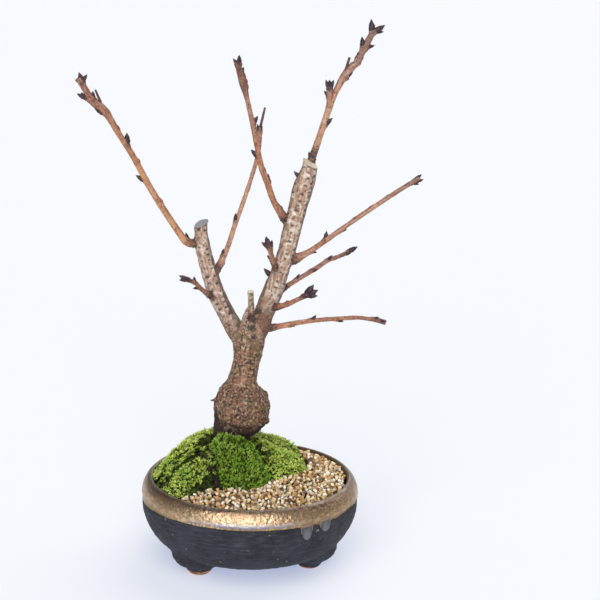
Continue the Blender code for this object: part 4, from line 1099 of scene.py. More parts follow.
# %% Relief of the bark
def bark_relief(points, normals, owner, along, angle, radius):
    """The height of the bark, and the values that its finish reads."""
    z = points[:, 2]
    old = 1.0 - ease(z - OLD_BARK_RISE[owner] + 5.0 * noise_at(points, 0.1), *OLD_TO_YOUNG)
    root = 1.0 - ease(z, *ROOT_TO_BALL)
    ball = ease(z, *BALL_BOTTOM) * (1.0 - ease(z, *BALL_TOP))
    neck = ease(z, *BALL_TOP) * old
    wandering = bent(points, 0.16, 2.6)
    lumps = noise_at(points, 0.17, 2)
    ridge = ridges(wandering * np.array([0.52, 0.52, 0.36]), 3)
    crack = 1.0 - ease(from_border(wandering * np.array([0.40, 0.40, 0.30])), 0.03, 0.22)
    wrinkle = ridges(bent(points, 0.2, 1.6) * np.array([0.30, 0.30, 0.85]), 3)
    fine = noise_at(points, 1.15, 2)
    height = ball * (0.6 * lumps + RIDGE_HEIGHT * (ridge - 0.55) - CRACK_DEPTH * crack + 0.2 * fine)
    height += neck * (0.3 * lumps + WRINKLE_HEIGHT * (wrinkle - 0.55) + 0.14 * fine)
    height += root * 0.35 * fine
    young = 1.0 - old
    flutes = noise_at(np.stack([angle * radius * 0.55, along * 0.05, owner * 9.0], 1), 1.0, 2)
    height += young * (0.22 * noise_at(points, 0.3) + 0.16 * flutes + 0.05 * fine)
    # Cracks and troughs are dark and crests pale: partly the bark's own colour, partly painted shade in the
    # hollows and a painted highlight on the crests
    crest = ball * (0.47 + 0.9 * (ridge - 0.5) + 0.35 * fine - 0.6 * crack)
    crest += neck * (0.50 + 0.8 * (wrinkle - 0.5) + 0.30 * fine) + root * (0.25 + 0.4 * fine)
    dark = ball * (0.45 * crack + 0.45 * ease(0.36 - ridge, 0.0, 0.3))
    dark += 0.4 * neck * ease(0.36 - wrinkle, 0.0, 0.3)
    for x, y, knot_z, size, lift in KNOTS:
        away = distances(points, (x, y, knot_z)) / size
        cap = np.exp(-away ** 4)
        rings = np.cos((away + 0.12 * fine) * 2 * math.pi / 0.42)
        height += lift * cap * 0.6 + 0.32 * cap * rings
        crest = crest * (1.0 - 0.7 * cap) + cap * 0.7 * (0.5 + 0.45 * rings)
    # Painted shade under the burl: low on the stump, bark that faces down is painted dark
    painted_underside_shade = ease(-normals[:, 2], 0.1, 0.7) * (1.0 - ease(z, *UNDERSIDE_SHADE_END))
    dark = np.maximum(dark, 0.85 * painted_underside_shade)
    # Under the bark's end the root is painted near black, partly its own colour and partly painted shade
    # under the overhanging burl
    bark_end = BARK_END + 8.5 * ease(-points[:, 0], 15.5, 19.0) + 1.5 * ease(points[:, 0], -2.0, 6.0)
    below = 1.0 - ease(z + 1.2 * lumps - bark_end, -1.5, 1.5)
    dark = np.maximum(dark, below * (1.0 - 0.15 * fine))
    # Painted shade in the crotch: the limbs are darker near the fork
    for part, share, low, high in FORK_PAINTED_SHADE:
        near_fork = (owner == part) * (1.0 - ease(z, low, high))
        dark = np.maximum(dark, share * near_fork * (1.0 + 0.35 * fine + 0.3 * lumps))
    tints = {kind: np.zeros(len(points)) for kind in ("rosy", "olive", "grey", "dark", "pale")}
    for x, y, mark_z, size, kind in MARKS:
        away = distances(points, (x, y, mark_z)) / size
        blot = ease(1.1 - away + 0.75 * fine + 0.3 * flutes, 0.0, 0.7)
        tints[kind] = np.maximum(tints[kind], blot * (away < 1.7))
    # Painted shade along the limbs' sides: a stripe along the left limb's right side and the
    # right limb's left side, wider near the fork, and a weaker one on each limb's other side
    beside = np.where(owner == 1, np.cos(angle - 0.1), np.where(owner == 2, -np.cos(angle + 0.1), -1.0))
    wider = 0.35 * (1.0 - ease(z, 138.0, 165.0))
    painted_side_shade = ease(beside + 0.22 * flutes + wider, 0.72, 0.95) * np.maximum(young, 2.0 * wider)
    painted_far_side_shade = ease(-beside + 0.22 * flutes, 0.80, 1.0) * young * (owner > 0) * (owner < 3)
    pores = pore_mask(owner, along, angle, radius) * young
    height -= PORE_DEPTH * pores
    collar = collar_mask(points)
    height += collar * (0.3 + 0.35 * noise_at(points, 0.9))
    dark = np.maximum(dark, tints["dark"] * 0.92)
    for mask, share in ((0.92 * pores, 1.0), (collar, 0.8), (painted_side_shade, 0.72), (painted_far_side_shade, 0.55)):
        dark = np.maximum(dark, mask * share)
    return height, {"dark": np.clip(dark, 0.0, 1.0), "old": old, "crest": np.clip(crest, 0.0, 1.0),
                    "tint": np.stack([tints["rosy"], tints["olive"], tints["grey"]], 1)}, tints["pale"]


print("relief is ready")

# %% [markdown]
# A sawn end is flat. Both limbs' saw cuts slant, so the points past a slanted plane are laid onto
# it, and the stub ends nearly square. A mask marks the bare wood there. Thin fibres of torn bark
# hang under the stump; each is a hair of a tube, added after the skin is made.

# %% Saw cuts and fibres
# Each cut: a point on it, the direction that it faces, how far from there it can be, and its tone
CUTS = {
    "left_cut": ((-28.6, 0.2, 192.5), (-0.30, -0.27, 0.91), 6.0, 0.15),
    "right_cut": ((30.2, 20.0, 222.7), (0.47, -0.14, 0.87), 7.5, 1.0),
    "stub_cut": ((-1.4, 7.0, 153.4), (-0.05, -0.35, 0.94), 3.2, 0.9),
}
CUT_RIM = 0.7
FIBRE_COUNT = 90
FIBRE_TOP = 80.0
FIBRE_RADIUS = (0.16, 0.34)


def saw(points, dark):
    """Lays the points past each cut on its plane, and marks them with the cut's tone."""
    bare = np.zeros(len(points))
    tone = np.zeros(len(points))
    points = points.copy()
    for place, facing, reach, colour in CUTS.values():
        facing = np.array(facing) / np.linalg.norm(facing)
        offset = points - np.array(place)
        past = offset @ facing
        near = np.linalg.norm(offset, axis=1) < reach
        cut = near & (past > -0.05)
        points[cut] -= np.outer(past[cut], facing)
        bare[cut] = 1.0
        tone[near] = colour
        rim = near & ~cut & (past > -CUT_RIM)
        dark[rim] = np.maximum(dark[rim], 0.75 if colour < 1.0 else 0.3)
    return points, bare, tone


def fibre_part():
    """Torn fibres that hang from the underside of the stump, with the values that bark reads."""
    tubes = []
    pale = []
    for _ in range(FIBRE_COUNT):
        turn = draw.uniform(0.0, 2 * math.pi)
        height = FIBRE_TOP - draw.uniform(0.0, 7.0)
        x, y, radius = trunk_at(height)
        away = radius - draw.uniform(0.0, 0.8)
        stations = []
        for _ in range(4):
            stations.append((x + away * math.cos(turn), y + away * math.sin(turn), height,
                             draw.uniform(*FIBRE_RADIUS)))
            turn += draw.uniform(-0.10, 0.10)
            height -= draw.uniform(1.0, 2.6)
            away = min(away, trunk_at(height)[2]) + draw.uniform(0.0, 0.9)
        tubes.append(tube(rounded(stations, 0.8), 5))
        pale.append(np.full(len(tubes[-1][0]), draw.choice([0.1, 0.3, 0.6, 1.0])))
    pale = np.concatenate(pale)
    none = np.zeros(len(pale))
    values = {"dark": 0.35 * (1.0 - pale), "old": np.ones(len(pale)), "crest": pale, "bare": none,
              "cut_tone": none, "tint": np.zeros((len(pale), 3)), "grain": np.zeros((len(pale), 3))}
    return *join_parts(tubes), values


print("cuts:", len(CUTS), "and", FIBRE_COUNT, "fibres")


# %% Build the wood
def build_wood():
    """Trunk, limbs and roots in one skin, with relief, cuts and the values that the bark reads."""
    parts = [tube(line, 28) for line in wood_lines.values()] + root_tubes()
    points, triangles = remeshed(*join_parts(parts), WOOD_VOXEL)
    points = smoothed(points, triangles, 4)
    normals = normals_of(points, triangles)
    owner, along, angle, radius, _ = find_on_wood(points)
    height, values, pale = bark_relief(points, normals, owner, along, angle, radius)
    points = points + normals * height[:, None]
    points, bare, tone = saw(points, values["dark"])
    values["bare"] = np.maximum(bare, 0.4 * pale)
    values["cut_tone"] = np.where(bare > 0.0, tone, 1.0)
    values["grain"] = np.stack([angle * radius, along, owner * 20.0], 1)
    return join_parts([(points, triangles, values), fibre_part()])


wood_part = build_wood()
print("wood:", len(wood_part[0]), "points")

# %% [markdown]
# One bark material serves both ages. The value "old" blends from smooth, silvery pink-brown to
# cracked red-brown with pale crests, partly a painted highlight. Streaks run along each limb,
# because the thin outer bark of a cherry shines in narrow strips. Dark pores and cracks come from
# the same value as their relief, and the dark in the cracks is partly painted shade. Three tints
# mark healed scars, algae and lichen.

# %% Bark finish
def bark_finish():
    """Smooth and old cherry bark, and the bare wood of the saw cuts."""
    finish, tree, where = new_finish("cherry_bark", roughness=0.6, specular=0.35)
    grain = attribute(tree, "grain", "Vector")
    shine = streaked(tree, grain, scale=0.75, stretch=0.2, low=0.40, high=0.62)
    smooth = blend_colours(tree, shine, (0.28, 0.165, 0.11), (0.60, 0.455, 0.355))
    strips = streaked(tree, grain, scale=1.5, stretch=0.07, low=0.50, high=0.72)
    smooth = tinted(tree, smooth, strips, 0.7, (0.15, 0.092, 0.075))
    cream = cloudy(tree, where, scale=300.0, low=0.52, high=0.62)
    smooth = tinted(tree, smooth, cream, 0.75, (0.78, 0.67, 0.57))
    scurf = cloudy(tree, where, scale=800.0, low=0.50, high=0.62)
    smooth = tinted(tree, smooth, scurf, 0.5, (0.20, 0.12, 0.09))
    tint = cloudy(tree, where, scale=130.0, low=0.48, high=0.72)
    smooth = tinted(tree, smooth, tint, 0.5, (0.40, 0.20, 0.13))
    dots = speckled(tree, grain, scale=0.5, size=0.30, share=0.45)
    smooth = tinted(tree, smooth, dots, 0.8, (0.07, 0.035, 0.028))
    crest = attribute(tree, "crest")
    flecks = cloudy(tree, where, scale=700.0, low=0.32, high=0.68)
    # Paler on crests: partly pale flakes, partly a painted highlight
    lit = maths(tree, "MULTIPLY_ADD", flecks, 0.95, maths(tree, "MULTIPLY_ADD", crest, 0.6, -0.42))
    aged = colour_steps(tree, lit, [(0.0, (0.022, 0.013, 0.012)), (0.25, (0.070, 0.038, 0.027)),
                                    (0.5, (0.175, 0.10, 0.063)), (0.75, (0.34, 0.22, 0.14)),
                                    (1.0, (0.56, 0.41, 0.28))])
    red = cloudy(tree, where, scale=210.0, low=0.48, high=0.64)
    aged = tinted(tree, aged, red, 0.5, (0.27, 0.115, 0.07))
    moist = cloudy(tree, where, scale=170.0, low=0.50, high=0.66)
    aged = tinted(tree, aged, moist, 0.45, (0.15, 0.12, 0.05))
    colour = blend_colours(tree, attribute(tree, "old"), smooth, aged)
    tints = add(tree, "ShaderNodeSeparateXYZ", {}, {0: attribute(tree, "tint", "Vector")})
    for output, share, shade in (("X", 0.6, (0.36, 0.18, 0.12)), ("Y", 0.6, (0.21, 0.165, 0.055)),
                                 ("Z", 0.7, (0.19, 0.20, 0.19))):
        colour = tinted(tree, colour, tints.outputs[output], share, shade)
    # The dark value holds pores, collars, scars and cut rims, and also painted shade in cracks, under the
    # burl, over the root, in the fork and along the limbs' sides
    colour = tinted(tree, colour, attribute(tree, "dark"), 0.96, (0.022, 0.012, 0.013))
    sawn = colour_steps(tree, attribute(tree, "cut_tone"),
                        [(0.0, (0.20, 0.20, 0.23)), (0.2, (0.30, 0.30, 0.34)),
                         (0.8, (0.66, 0.60, 0.48)), (1.0, (0.74, 0.62, 0.46))])
    rings = cloudy(tree, where, scale=700.0, low=0.35, high=0.75)
    sawn = tinted(tree, sawn, rings, 0.35, (0.22, 0.17, 0.13))
    colour = blend_colours(tree, attribute(tree, "bare"), colour, sawn)
    gloss = maths(tree, "MULTIPLY_ADD", shine, -0.12, 0.58)
    others = {"Roughness": maths(tree, "MULTIPLY_ADD", attribute(tree, "old"), 0.25, gloss)}
    return finished(finish, colour, where, scale=1100.0, grit=0.4, depth_mm=0.2, others=others)


wood = make_piece("wood", wood_part, bark_finish())
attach(wood, "root")
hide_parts("cherry_tree")

# %% [markdown]
# ## Whips and spurs
#
# A whip is one year's growth: a smooth rod that bulges on one side under each bud and starts in a
# dark wrinkled collar where it left the old wood. Each is a tube along a smooth line. Its radius
# swells near the buds, and near the wood, whose distance is known from the lookup above.

# %% Whips
# How warm each whip's colour is at its foot and at its tip: 0 tan, 0.5 orange, 1 red-brown
WARMTH = {"left_whip": (0.48, 0.85), "left_shoot": (0.85, 0.95), "back_whip": (0.42, 0.7),
          "cross_whip": (0.70, 1.0), "leader": (0.45, 1.0), "leader_spur": (0.7, 1.0),
          "right_long": (0.62, 0.85), "right_back": (0.75, 0.75), "right_short": (0.8, 0.9),
          "right_low": (0.6, 0.85), "left_spur": (0.85, 0.95), "mid_spur": (0.8, 0.95)}
# How much pinkish grey wax lies on a whip; the others have WAX_ELSEWHERE
WAX = {"leader": 0.9, "leader_spur": 0.7, "right_long": 0.6, "back_whip": 0.6, "right_back": 0.4}
WAX_ELSEWHERE = 0.15
# How dark a whip gets towards its tip; the others have TIP_DARK_ELSEWHERE
TIP_DARK = {"leader": 0.45, "cross_whip": 0.5, "right_long": 0.35, "right_low": 0.4,
            "right_back": 0.45, "left_shoot": 0.3}
TIP_DARK_ELSEWHERE = 0.15
SPURS = ("left_shoot", "leader_spur", "right_short", "left_spur", "mid_spur")
WHIP_SIDES = 20
NODE_SWELL = 0.42
NODE_LENGTH = 1.5
COLLAR_SWELL = 0.18
# The smoothing and the knobs make a whip look thicker than its line says
WHIP_SLIM = 0.94


def build_whip(name, stations):
    """One whip with its swellings, and the values that its bark reads."""
    line = rounded(stations, WHIP_STEP)
    gone = along_and_round(line)[3]
    share = gone / gone[-1]
    outside = find_on_wood(line[:, :3])[4]
    near_wood = np.exp(-((outside - 0.8) / 2.6) ** 2) * (outside < 7.0)
    if name in ("leader_spur", "left_shoot"):
        near_wood = np.exp(-(gone / 2.5) ** 2) * 0.6
    wrinkle = 0.10 * np.sin(gone * 2 * math.pi / 1.25) * near_wood
    if name in SPURS:
        wrinkle += 0.07 * np.sin(gone * 2 * math.pi / 1.1 + 2.0 * np.sin(gone * 0.9))
    line[:, 3] *= WHIP_SLIM * (1.0 + COLLAR_SWELL * near_wood) * (1.0 + wrinkle)
    points, triangles = tube(line, WHIP_SIDES)
    ring = np.concatenate([np.repeat(np.arange(len(line)), WHIP_SIDES), [0, len(line) - 1]])
    spoke = np.concatenate([np.tile(np.arange(WHIP_SIDES), len(line)), [0, 0]])
    angle = spoke * 2 * math.pi / WHIP_SIDES
    arc = angle * line[ring, 3]
    normals = normals_of(points, triangles)
    swell = np.zeros(len(points))
    scar = np.zeros(len(points))
    for at, side, _, length in BUDS[name]:
        facing = 0.5 + 0.5 * np.cos(angle + math.radians(side))
        away = (gone[ring] - at * gone[-1]) / NODE_LENGTH
        size = min(length, 6.0) / 5.0
        swell = np.maximum(swell, size * facing ** 2 * np.exp(-(away + 0.3) ** 2))
        scar = np.maximum(scar, (0.1 + 0.9 * facing ** 2) * np.exp(-(away / 0.7) ** 2))
    seed = float(sum(map(ord, name)) % 97)
    flutes = noise_at(np.stack([arc * 0.9, gone[ring] * 0.10, np.full(len(points), seed)], 1), 1.0)
    uneven = 0.09 * noise_at(points, 0.55) + 0.06 * noise_at(points, 1.6) + 0.07 * flutes
    collar = near_wood[ring] * 0.45 * noise_at(points, 1.1)
    lift = NODE_SWELL * swell * line[ring, 3] + uneven + collar
    points = points + normals * lift[:, None]
    base, tip = WARMTH[name]
    warmth = base + (tip - base) * ease(share, 0.35, 0.95)
    sunny = np.clip(normals[:, 2], 0.0, 1.0) * (share[ring] < 0.999)
    warmth = np.clip(warmth[ring] + 0.45 * sunny + 0.25 * flutes, 0.0, 1.0)
    dark = np.maximum(near_wood[ring] * (0.85 + 0.6 * noise_at(points, 0.8)), 0.8 * scar)
    shaded = TIP_DARK.get(name, TIP_DARK_ELSEWHERE) * (1.0 + 0.5 * noise_at(points, 0.7))
    dark = np.maximum(dark, shaded * ease(share[ring], 0.72, 0.9))
    if name in SPURS:
        dark = np.maximum(dark, 0.85 * ease(share[ring], 0.78, 0.92))
    grain = np.stack([arc, gone[ring], np.full(len(points), seed)], 1)
    wax = np.full(len(points), WAX.get(name, WAX_ELSEWHERE))
    return points, triangles, {"warmth": warmth, "dark": np.clip(dark, 0.0, 1.0), "grain": grain,
                               "wax": wax}


def build_stalk(stations):
    """A dry stalk: thin, uneven, dark and waxy."""
    points, triangles = tube(rounded(stations, 0.8), 8)
    points = points + 0.12 * noise_at(points, 0.9)[:, None]
    full = np.ones(len(points))
    return points, triangles, {"warmth": full, "dark": 0.85 * full, "grain": points, "wax": full}


print("whips:", len(WHIPS), "and dry stalks:", len(STALKS))


# %% Whip finish
def whip_finish():
    """Smooth young bark, from tan through orange to red-brown, with fine streaks and pores."""
    finish, tree, where = new_finish("whip_bark", roughness=0.55, specular=0.28)
    grain = attribute(tree, "grain", "Vector")
    mottle = cloudy(tree, where, scale=300.0, low=0.3, high=0.7)
    warm = maths(tree, "MULTIPLY_ADD", mottle, 0.4, attribute(tree, "warmth"))
    warm = maths(tree, "SUBTRACT", warm, 0.2)
    colour = colour_steps(tree, warm,
                          [(0.0, (0.55, 0.36, 0.19)), (0.3, (0.53, 0.26, 0.10)),
                           (0.6, (0.42, 0.17, 0.070)), (0.85, (0.25, 0.090, 0.055)),
                           (1.0, (0.16, 0.060, 0.050))])
    shine = streaked(tree, grain, scale=1.3, stretch=0.12, low=0.47, high=0.72)
    colour = tinted(tree, colour, shine, 0.5, (0.70, 0.46, 0.31))
    film = streaked(tree, grain, scale=0.9, stretch=0.15, low=0.30, high=0.62)
    film = maths(tree, "MULTIPLY", film, attribute(tree, "wax"))
    colour = tinted(tree, colour, film, 0.7, (0.46, 0.33, 0.28))
    shade = streaked(tree, grain, scale=2.1, stretch=0.2, low=0.52, high=0.72)
    colour = tinted(tree, colour, shade, 0.75, (0.11, 0.045, 0.034))
    pale = speckled(tree, grain, scale=1.0, size=0.34, share=0.28)
    colour = tinted(tree, colour, pale, 0.6, (0.82, 0.62, 0.46))
    pores = speckled(tree, grain, scale=0.7, size=0.34, share=0.5)
    colour = tinted(tree, colour, pores, 0.8, (0.06, 0.028, 0.026))
    colour = tinted(tree, colour, attribute(tree, "dark"), 0.92, (0.032, 0.018, 0.024))
    return finished(finish, colour, where, scale=900.0, grit=0.3, depth_mm=0.12)


whip_parts = [build_whip(name, stations) for name, stations in WHIPS.items()]
whip_parts += [build_stalk(stations) for stations in STALKS.values()]
whips = make_piece("whips", join_parts(whip_parts), whip_finish())
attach(whips, "root")
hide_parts("cherry_tree")

# %% [markdown]
# ## Winter buds
#
# A cherry's winter bud is a pointed cone of overlapping dark scales. Each bud is a small turned
# form whose surface steps in rows, like roof tiles, and leans out from its whip. A few also sit
# on the old wood.

# %% Buds
BUD_SIDES = 12
BUD_RINGS = 14
BUD_WIDTH_SHARE = 0.46
BUD_SINK = 0.15
BUD_START = 0.45
LIMB_BUD_START = 0.8
BUD_SCALE_ROWS = 3.0


def point_along(stations, share):
    """The place, direction and radius at a share of a branch's length."""
    known = np.asarray(stations, float)
    spans = np.linalg.norm(np.diff(known[:, :3], axis=0), axis=1)
    gone = np.concatenate([[0.0], np.cumsum(spans)])
    at = share * gone[-1]
    index = min(int(np.searchsorted(gone, at, side="right")) - 1, len(spans) - 1)
    here = known[index] + (known[index + 1] - known[index]) * (at - gone[index]) / spans[index]
    direction = (known[index + 1] - known[index])[:3] / spans[index]
    return Vector(here[:3]), Vector(direction), here[3]


def build_bud(stations, share, side, lean, length, start_share):
    """One bud on its branch, and how near a scale's edge each of its points is."""
    place, direction, radius = point_along(stations, share)
    right = Vector((direction.z, 0.0, -direction.x)).normalized()
    front = right.cross(direction)
    turn = math.radians(side)
    out = right * math.cos(turn) + front * math.sin(turn)
    tilt = math.radians(lean)
    axis = direction * math.cos(tilt) + out * math.sin(tilt)
    spin = axis.to_track_quat("Z", "Y").to_matrix()
    start = place + out * radius * start_share
    points = []
    edges = []
    for ring in range(BUD_RINGS + 1):
        rise = ring / BUD_RINGS
        belly = math.sin(math.pi * (0.10 + 0.90 * rise) ** 0.78) ** 0.9
        for number in range(BUD_SIDES):
            angle = 2 * math.pi * number / BUD_SIDES
            row = (rise * BUD_SCALE_ROWS + 1.5 * number / BUD_SIDES) % 1.0
            width = 0.5 * BUD_WIDTH_SHARE * length * belly * (1.12 - 0.22 * row)
            local = Vector((width * math.cos(angle), width * math.sin(angle),
                            (rise - BUD_SINK) * length))
            points.append(start + spin @ local)
            edges.append(row)
    triangles = []
    for ring in range(BUD_RINGS):
        for number in range(BUD_SIDES):
            after = (number + 1) % BUD_SIDES
            a, b = ring * BUD_SIDES + number, ring * BUD_SIDES + after
            triangles += [(a, b, b + BUD_SIDES), (a, b + BUD_SIDES, a + BUD_SIDES)]
    top = BUD_RINGS * BUD_SIDES
    for number in range(1, BUD_SIDES - 1):
        triangles += [(0, number + 1, number), (top, top + number, top + number + 1)]
    points = np.array([tuple(point) for point in points])
    return points, np.array(triangles), {"edge": np.array(edges)}


print("each bud has", BUD_SIDES * (BUD_RINGS + 1), "points")


# %% Bud finish, and every bud
def bud_finish():
    """Nearly black purple scales with browner edges and a dull wax."""
    finish, tree, where = new_finish("bud_scales", roughness=0.42, specular=0.35)
    rim = stretch_range(tree, attribute(tree, "edge"), 0.62, 0.98)
    cloud = cloudy(tree, where, scale=260.0, low=0.4, high=0.7)
    colour = blend_colours(tree, cloud, (0.022, 0.012, 0.018), (0.060, 0.030, 0.036))
    colour = tinted(tree, colour, rim, 0.5, (0.13, 0.068, 0.058))
    return finished(finish, colour, where, scale=1500.0, grit=0.2, depth_mm=0.06)


branches = {**LIMBS, **WHIPS}
bud_parts = []
for name, some_buds in BUDS.items():
    for share, side, lean, length in some_buds:
        start_share = LIMB_BUD_START if name in LIMBS else BUD_START
        bud_parts.append(build_bud(branches[name], share, side, lean, length, start_share))
buds = make_piece("winter_buds", join_parts(bud_parts), bud_finish())
print("buds:", len(bud_parts))
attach(buds, "root")
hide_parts("cherry_tree")

# %% [markdown]
# ## Scattering over a surface
#
# Moss, grit and stones are many small things on one surface. Random points alone leave clumps and
# holes. So more points than needed are thrown on the surface, and each is kept only if no kept one
# is nearer than a given spacing, which is how real shoots share the ground.

# %% Scatter helpers
def throw(points, triangles, count):
    """Random places on a surface and the direction that it faces there."""
    corners = points[triangles]
    across = np.cross(corners[:, 1] - corners[:, 0], corners[:, 2] - corners[:, 0])
    areas = np.linalg.norm(across, axis=1) / 2
    chosen = draw.choice(len(triangles), count, p=areas / areas.sum())
    first, second = np.sqrt(draw.random(count)), draw.random(count)
    shares = np.stack([1 - first, first * (1 - second), first * second], 1)
    places = (corners[chosen] * shares[:, :, None]).sum(1)
    return places, across[chosen] / (2 * areas[chosen])[:, None]


def thin_out(places, spacing):
    """The numbers of the places that keep their distance from each other."""
    cells = {}
    kept = []
    keys = np.floor(places / spacing).astype(int)
    around = [(i, j, k) for i in (-1, 0, 1) for j in (-1, 0, 1) for k in (-1, 0, 1)]
    for number, (key, place) in enumerate(zip(keys.tolist(), places.tolist())):
        free = True
        for i, j, k in around:
            for other in cells.get((key[0] + i, key[1] + j, key[2] + k), ()):
                if math.dist(place, other) < spacing:
                    free = False
                    break
            if not free:
                break
        if free:
            cells.setdefault(tuple(key), []).append(place)
            kept.append(number)
    return np.array(kept)


def blades(places, facing, lean, length, width, curl):
    """Thin pointed blades: five points and three triangles each."""
    count = len(places)
    helper = draw.normal(size=(count, 3))
    side = np.cross(facing, helper)
    side /= np.linalg.norm(side, axis=1)[:, None]
    out = np.cross(side, facing)
    low = facing * np.cos(lean)[:, None] + out * np.sin(lean)[:, None]
    over = lean + curl
    high = facing * np.cos(over)[:, None] + out * np.sin(over)[:, None]
    middle = places + low * (length * 0.55)[:, None]
    tip = middle + high * (length * 0.45)[:, None]
    half = side * (width / 2)[:, None]
    points = np.stack([places - half, places + half, middle - half * 0.8, middle + half * 0.8,
                       tip], 1)
    pattern = np.array([(0, 1, 3), (0, 3, 2), (2, 3, 4)])
    triangles = (np.arange(count)[:, None, None] * 5 + pattern).reshape(-1, 3)
    return points.reshape(-1, 3), triangles


print("scatter helpers are ready")

# %% [markdown]
# ## Moss
#
# Two mosses grow here. The front cushion is short and dense, mid-green, like velvet. The others end
# in open stars of yellow-green leaves with dark gaps between. Each pad is a soft dark cushion,
# remeshed from its solid, with thousands of shoots on it. A shoot is a ring of blades that lean
# outward. Shoots over a hollow of the cushion stay shorter and are painted darker, as shade, which
# gives the tufts.

# %% Moss finish
def moss_finish():
    """Dark at the foot of each leaf, bright at its tip; the mesh says how far up and which moss."""
    finish, tree, where = new_finish("moss_leaves", roughness=0.5, specular=0.3)
    reach = attribute(tree, "reach")
    fresh = attribute(tree, "fresh")
    dense = colour_steps(tree, reach, [(0.0, (0.020, 0.055, 0.005)), (0.4, (0.15, 0.33, 0.018)),
                                       (1.0, (0.60, 0.94, 0.095))])
    starry = colour_steps(tree, reach, [(0.0, (0.035, 0.050, 0.007)), (0.28, (0.48, 0.64, 0.055)),
                                        (1.0, (0.98, 1.0, 0.45))])
    colour = blend_colours(tree, fresh, dense, starry)
    dry = cloudy(tree, where, scale=160.0, low=0.55, high=0.75)
    colour = tinted(tree, colour, dry, 0.3, (0.20, 0.17, 0.05))
    fill(tree, tree.nodes["Principled BSDF"], {"Base Color": colour})
    return finish


def cushion_finish():
    """The dark felt of old stems under the leaves, painted darker still as the shade between shoots."""
    finish, tree, where = new_finish("moss_felt", roughness=0.95, specular=0.1)
    cloud = cloudy(tree, where, scale=420.0, low=0.4, high=0.65)
    colour = blend_colours(tree, cloud, (0.010, 0.014, 0.004), (0.050, 0.065, 0.014))
    return finished(finish, colour, where, scale=1200.0, grit=0.6, depth_mm=0.6)


print("moss finishes are ready")

# %% Moss pads
# Each pad: shoot spacing, leaves to a shoot, leaf length, leaf width, lean in degrees, and how
# fresh it is
MOSS_KINDS = {
    "moss_front": (0.80, 7, 2.3, 0.34, 22.0, 0.20),
    "moss_left_front": (1.3, 11, 1.9, 0.44, 62.0, 0.62),
    "moss_left_back": (1.35, 11, 1.9, 0.46, 64.0, 0.80),
    "moss_back_left": (1.4, 11, 1.9, 0.46, 64.0, 0.78),
    "moss_back_right": (1.4, 11, 1.9, 0.46, 64.0, 0.78),
    "moss_right": (1.25, 11, 1.8, 0.44, 62.0, 0.80),
}
# How far each cushion lies under its solid's top, and inside its outer edge, in millimetres
CUSHION_DROPS = {"moss_front": (1.6, 1.6), "moss_left_front": (1.5, 3.4),
                 "moss_left_back": (0.4, 3.2), "moss_back_left": (-0.2, 2.0),
                 "moss_back_right": (-0.1, 3.0), "moss_right": (1.2, 3.2)}
# The left pads are lower still from here outwards: from and to in -x, and how far
LEFT_SLOPE = (28.0, 46.0, 1.3)
CUSHION_VOXEL = 0.9
CUSHION_LUMP = 0.95
ROOT_PLACE = (-8.6, 10.0)
ROOT_NEAR = 14.5
ROOT_FAR = 21.0
ROOT_RISE = 0.6
ROOT_PULL = 2.4
# Only moss above these heights is pulled to the root, or swells with the brow
ROOT_MOSS_LOW = 58.0
BROW_LOW = 60.0
HOLLOW_SHADE = 0.75
# How many places are tried on each pad before they are thinned out
SHOOT_THROWS = 18000
# Where the front pad meets the right one its shoots are darker: middle and radii in mm
DARKER_PATCH_PLACE = (6.8, 3.0)
DARKER_PATCH_RADII = (6.0, 10.0)
# Gaps across the pads, where the cushion sinks and shoots are painted dark as shade: places
# along each, and half its width
GAPS = [
    ([(-50.0, -21.0, 48.0), (-46.2, -20.3, 53.8), (-42.5, -18.2, 57.7), (-38.3, -16.3, 61.2),
      (-32.9, -13.7, 65.0), (-30.3, -9.5, 66.5)], 2.0),
    ([(-34.6, -14.8, 63.8), (-31.0, -12.6, 65.8)], 3.2),
    ([(-30.3, -9.5, 66.5), (-27.5, -3.0, 67.7), (-24.3, 1.0, 70.0)], 1.7),
    ([(-24.9, -14.5, 66.8), (-23.9, -17.5, 64.9)], 1.5),
    ([(-22.2, -21.4, 61.0), (-20.4, -23.0, 57.5)], 1.8),
    ([(-19.6, -24.0, 56.0), (-21.6, -27.3, 53.0), (-25.0, -30.2, 51.0), (-29.0, -34.5, 49.0)], 3.0),
    ([(-24.0, -1.0, 68.0), (-21.5, 1.5, 69.5), (-19.0, 1.0, 69.0)], 1.8),
    ([(2.5, 4.0, 64.0), (6.4, 1.2, 62.3), (9.3, -3.5, 57.8)], 1.4),
]
GAP_DEPTH = 3.0
# The front pad swells towards the root: middle, radii and height
BROW_PLACE = (-3.0, -7.0)
BROW_RADII = (12.0, 6.0)
BROW_RISE = 2.6
print("moss pads:", list(MOSS_KINDS), "with", len(GAPS), "gaps")


# %% Moss cushions
def cushion_lumps(points):
    """The rise and fall of a cushion, in millimetres."""
    return CUSHION_LUMP * noise_at(points, 0.24, 2) + 0.35 * noise_at(points, 0.6)


def gap_mask(points, normals):
    """1 in the middle of a dark gap, 0 away from all of them, however deep a point has sunk."""
    mask = np.zeros(len(points))
    for stations, half_width in GAPS:
        line = rounded(stations, 0.6)
        away = np.full(len(points), 99.0)
        for place in line:
            offset = points - place
            deep = (offset * normals).sum(1)
            beside = np.linalg.norm(offset - normals * deep[:, None], axis=1)
            away = np.minimum(away, np.where(np.abs(deep) < 8.0, beside, 99.0))
        ragged = half_width * (1.0 + 0.35 * noise_at(points, 0.4))
        mask = np.maximum(mask, 1.0 - ease(away, 0.55 * ragged, 1.5 * ragged))
    return mask


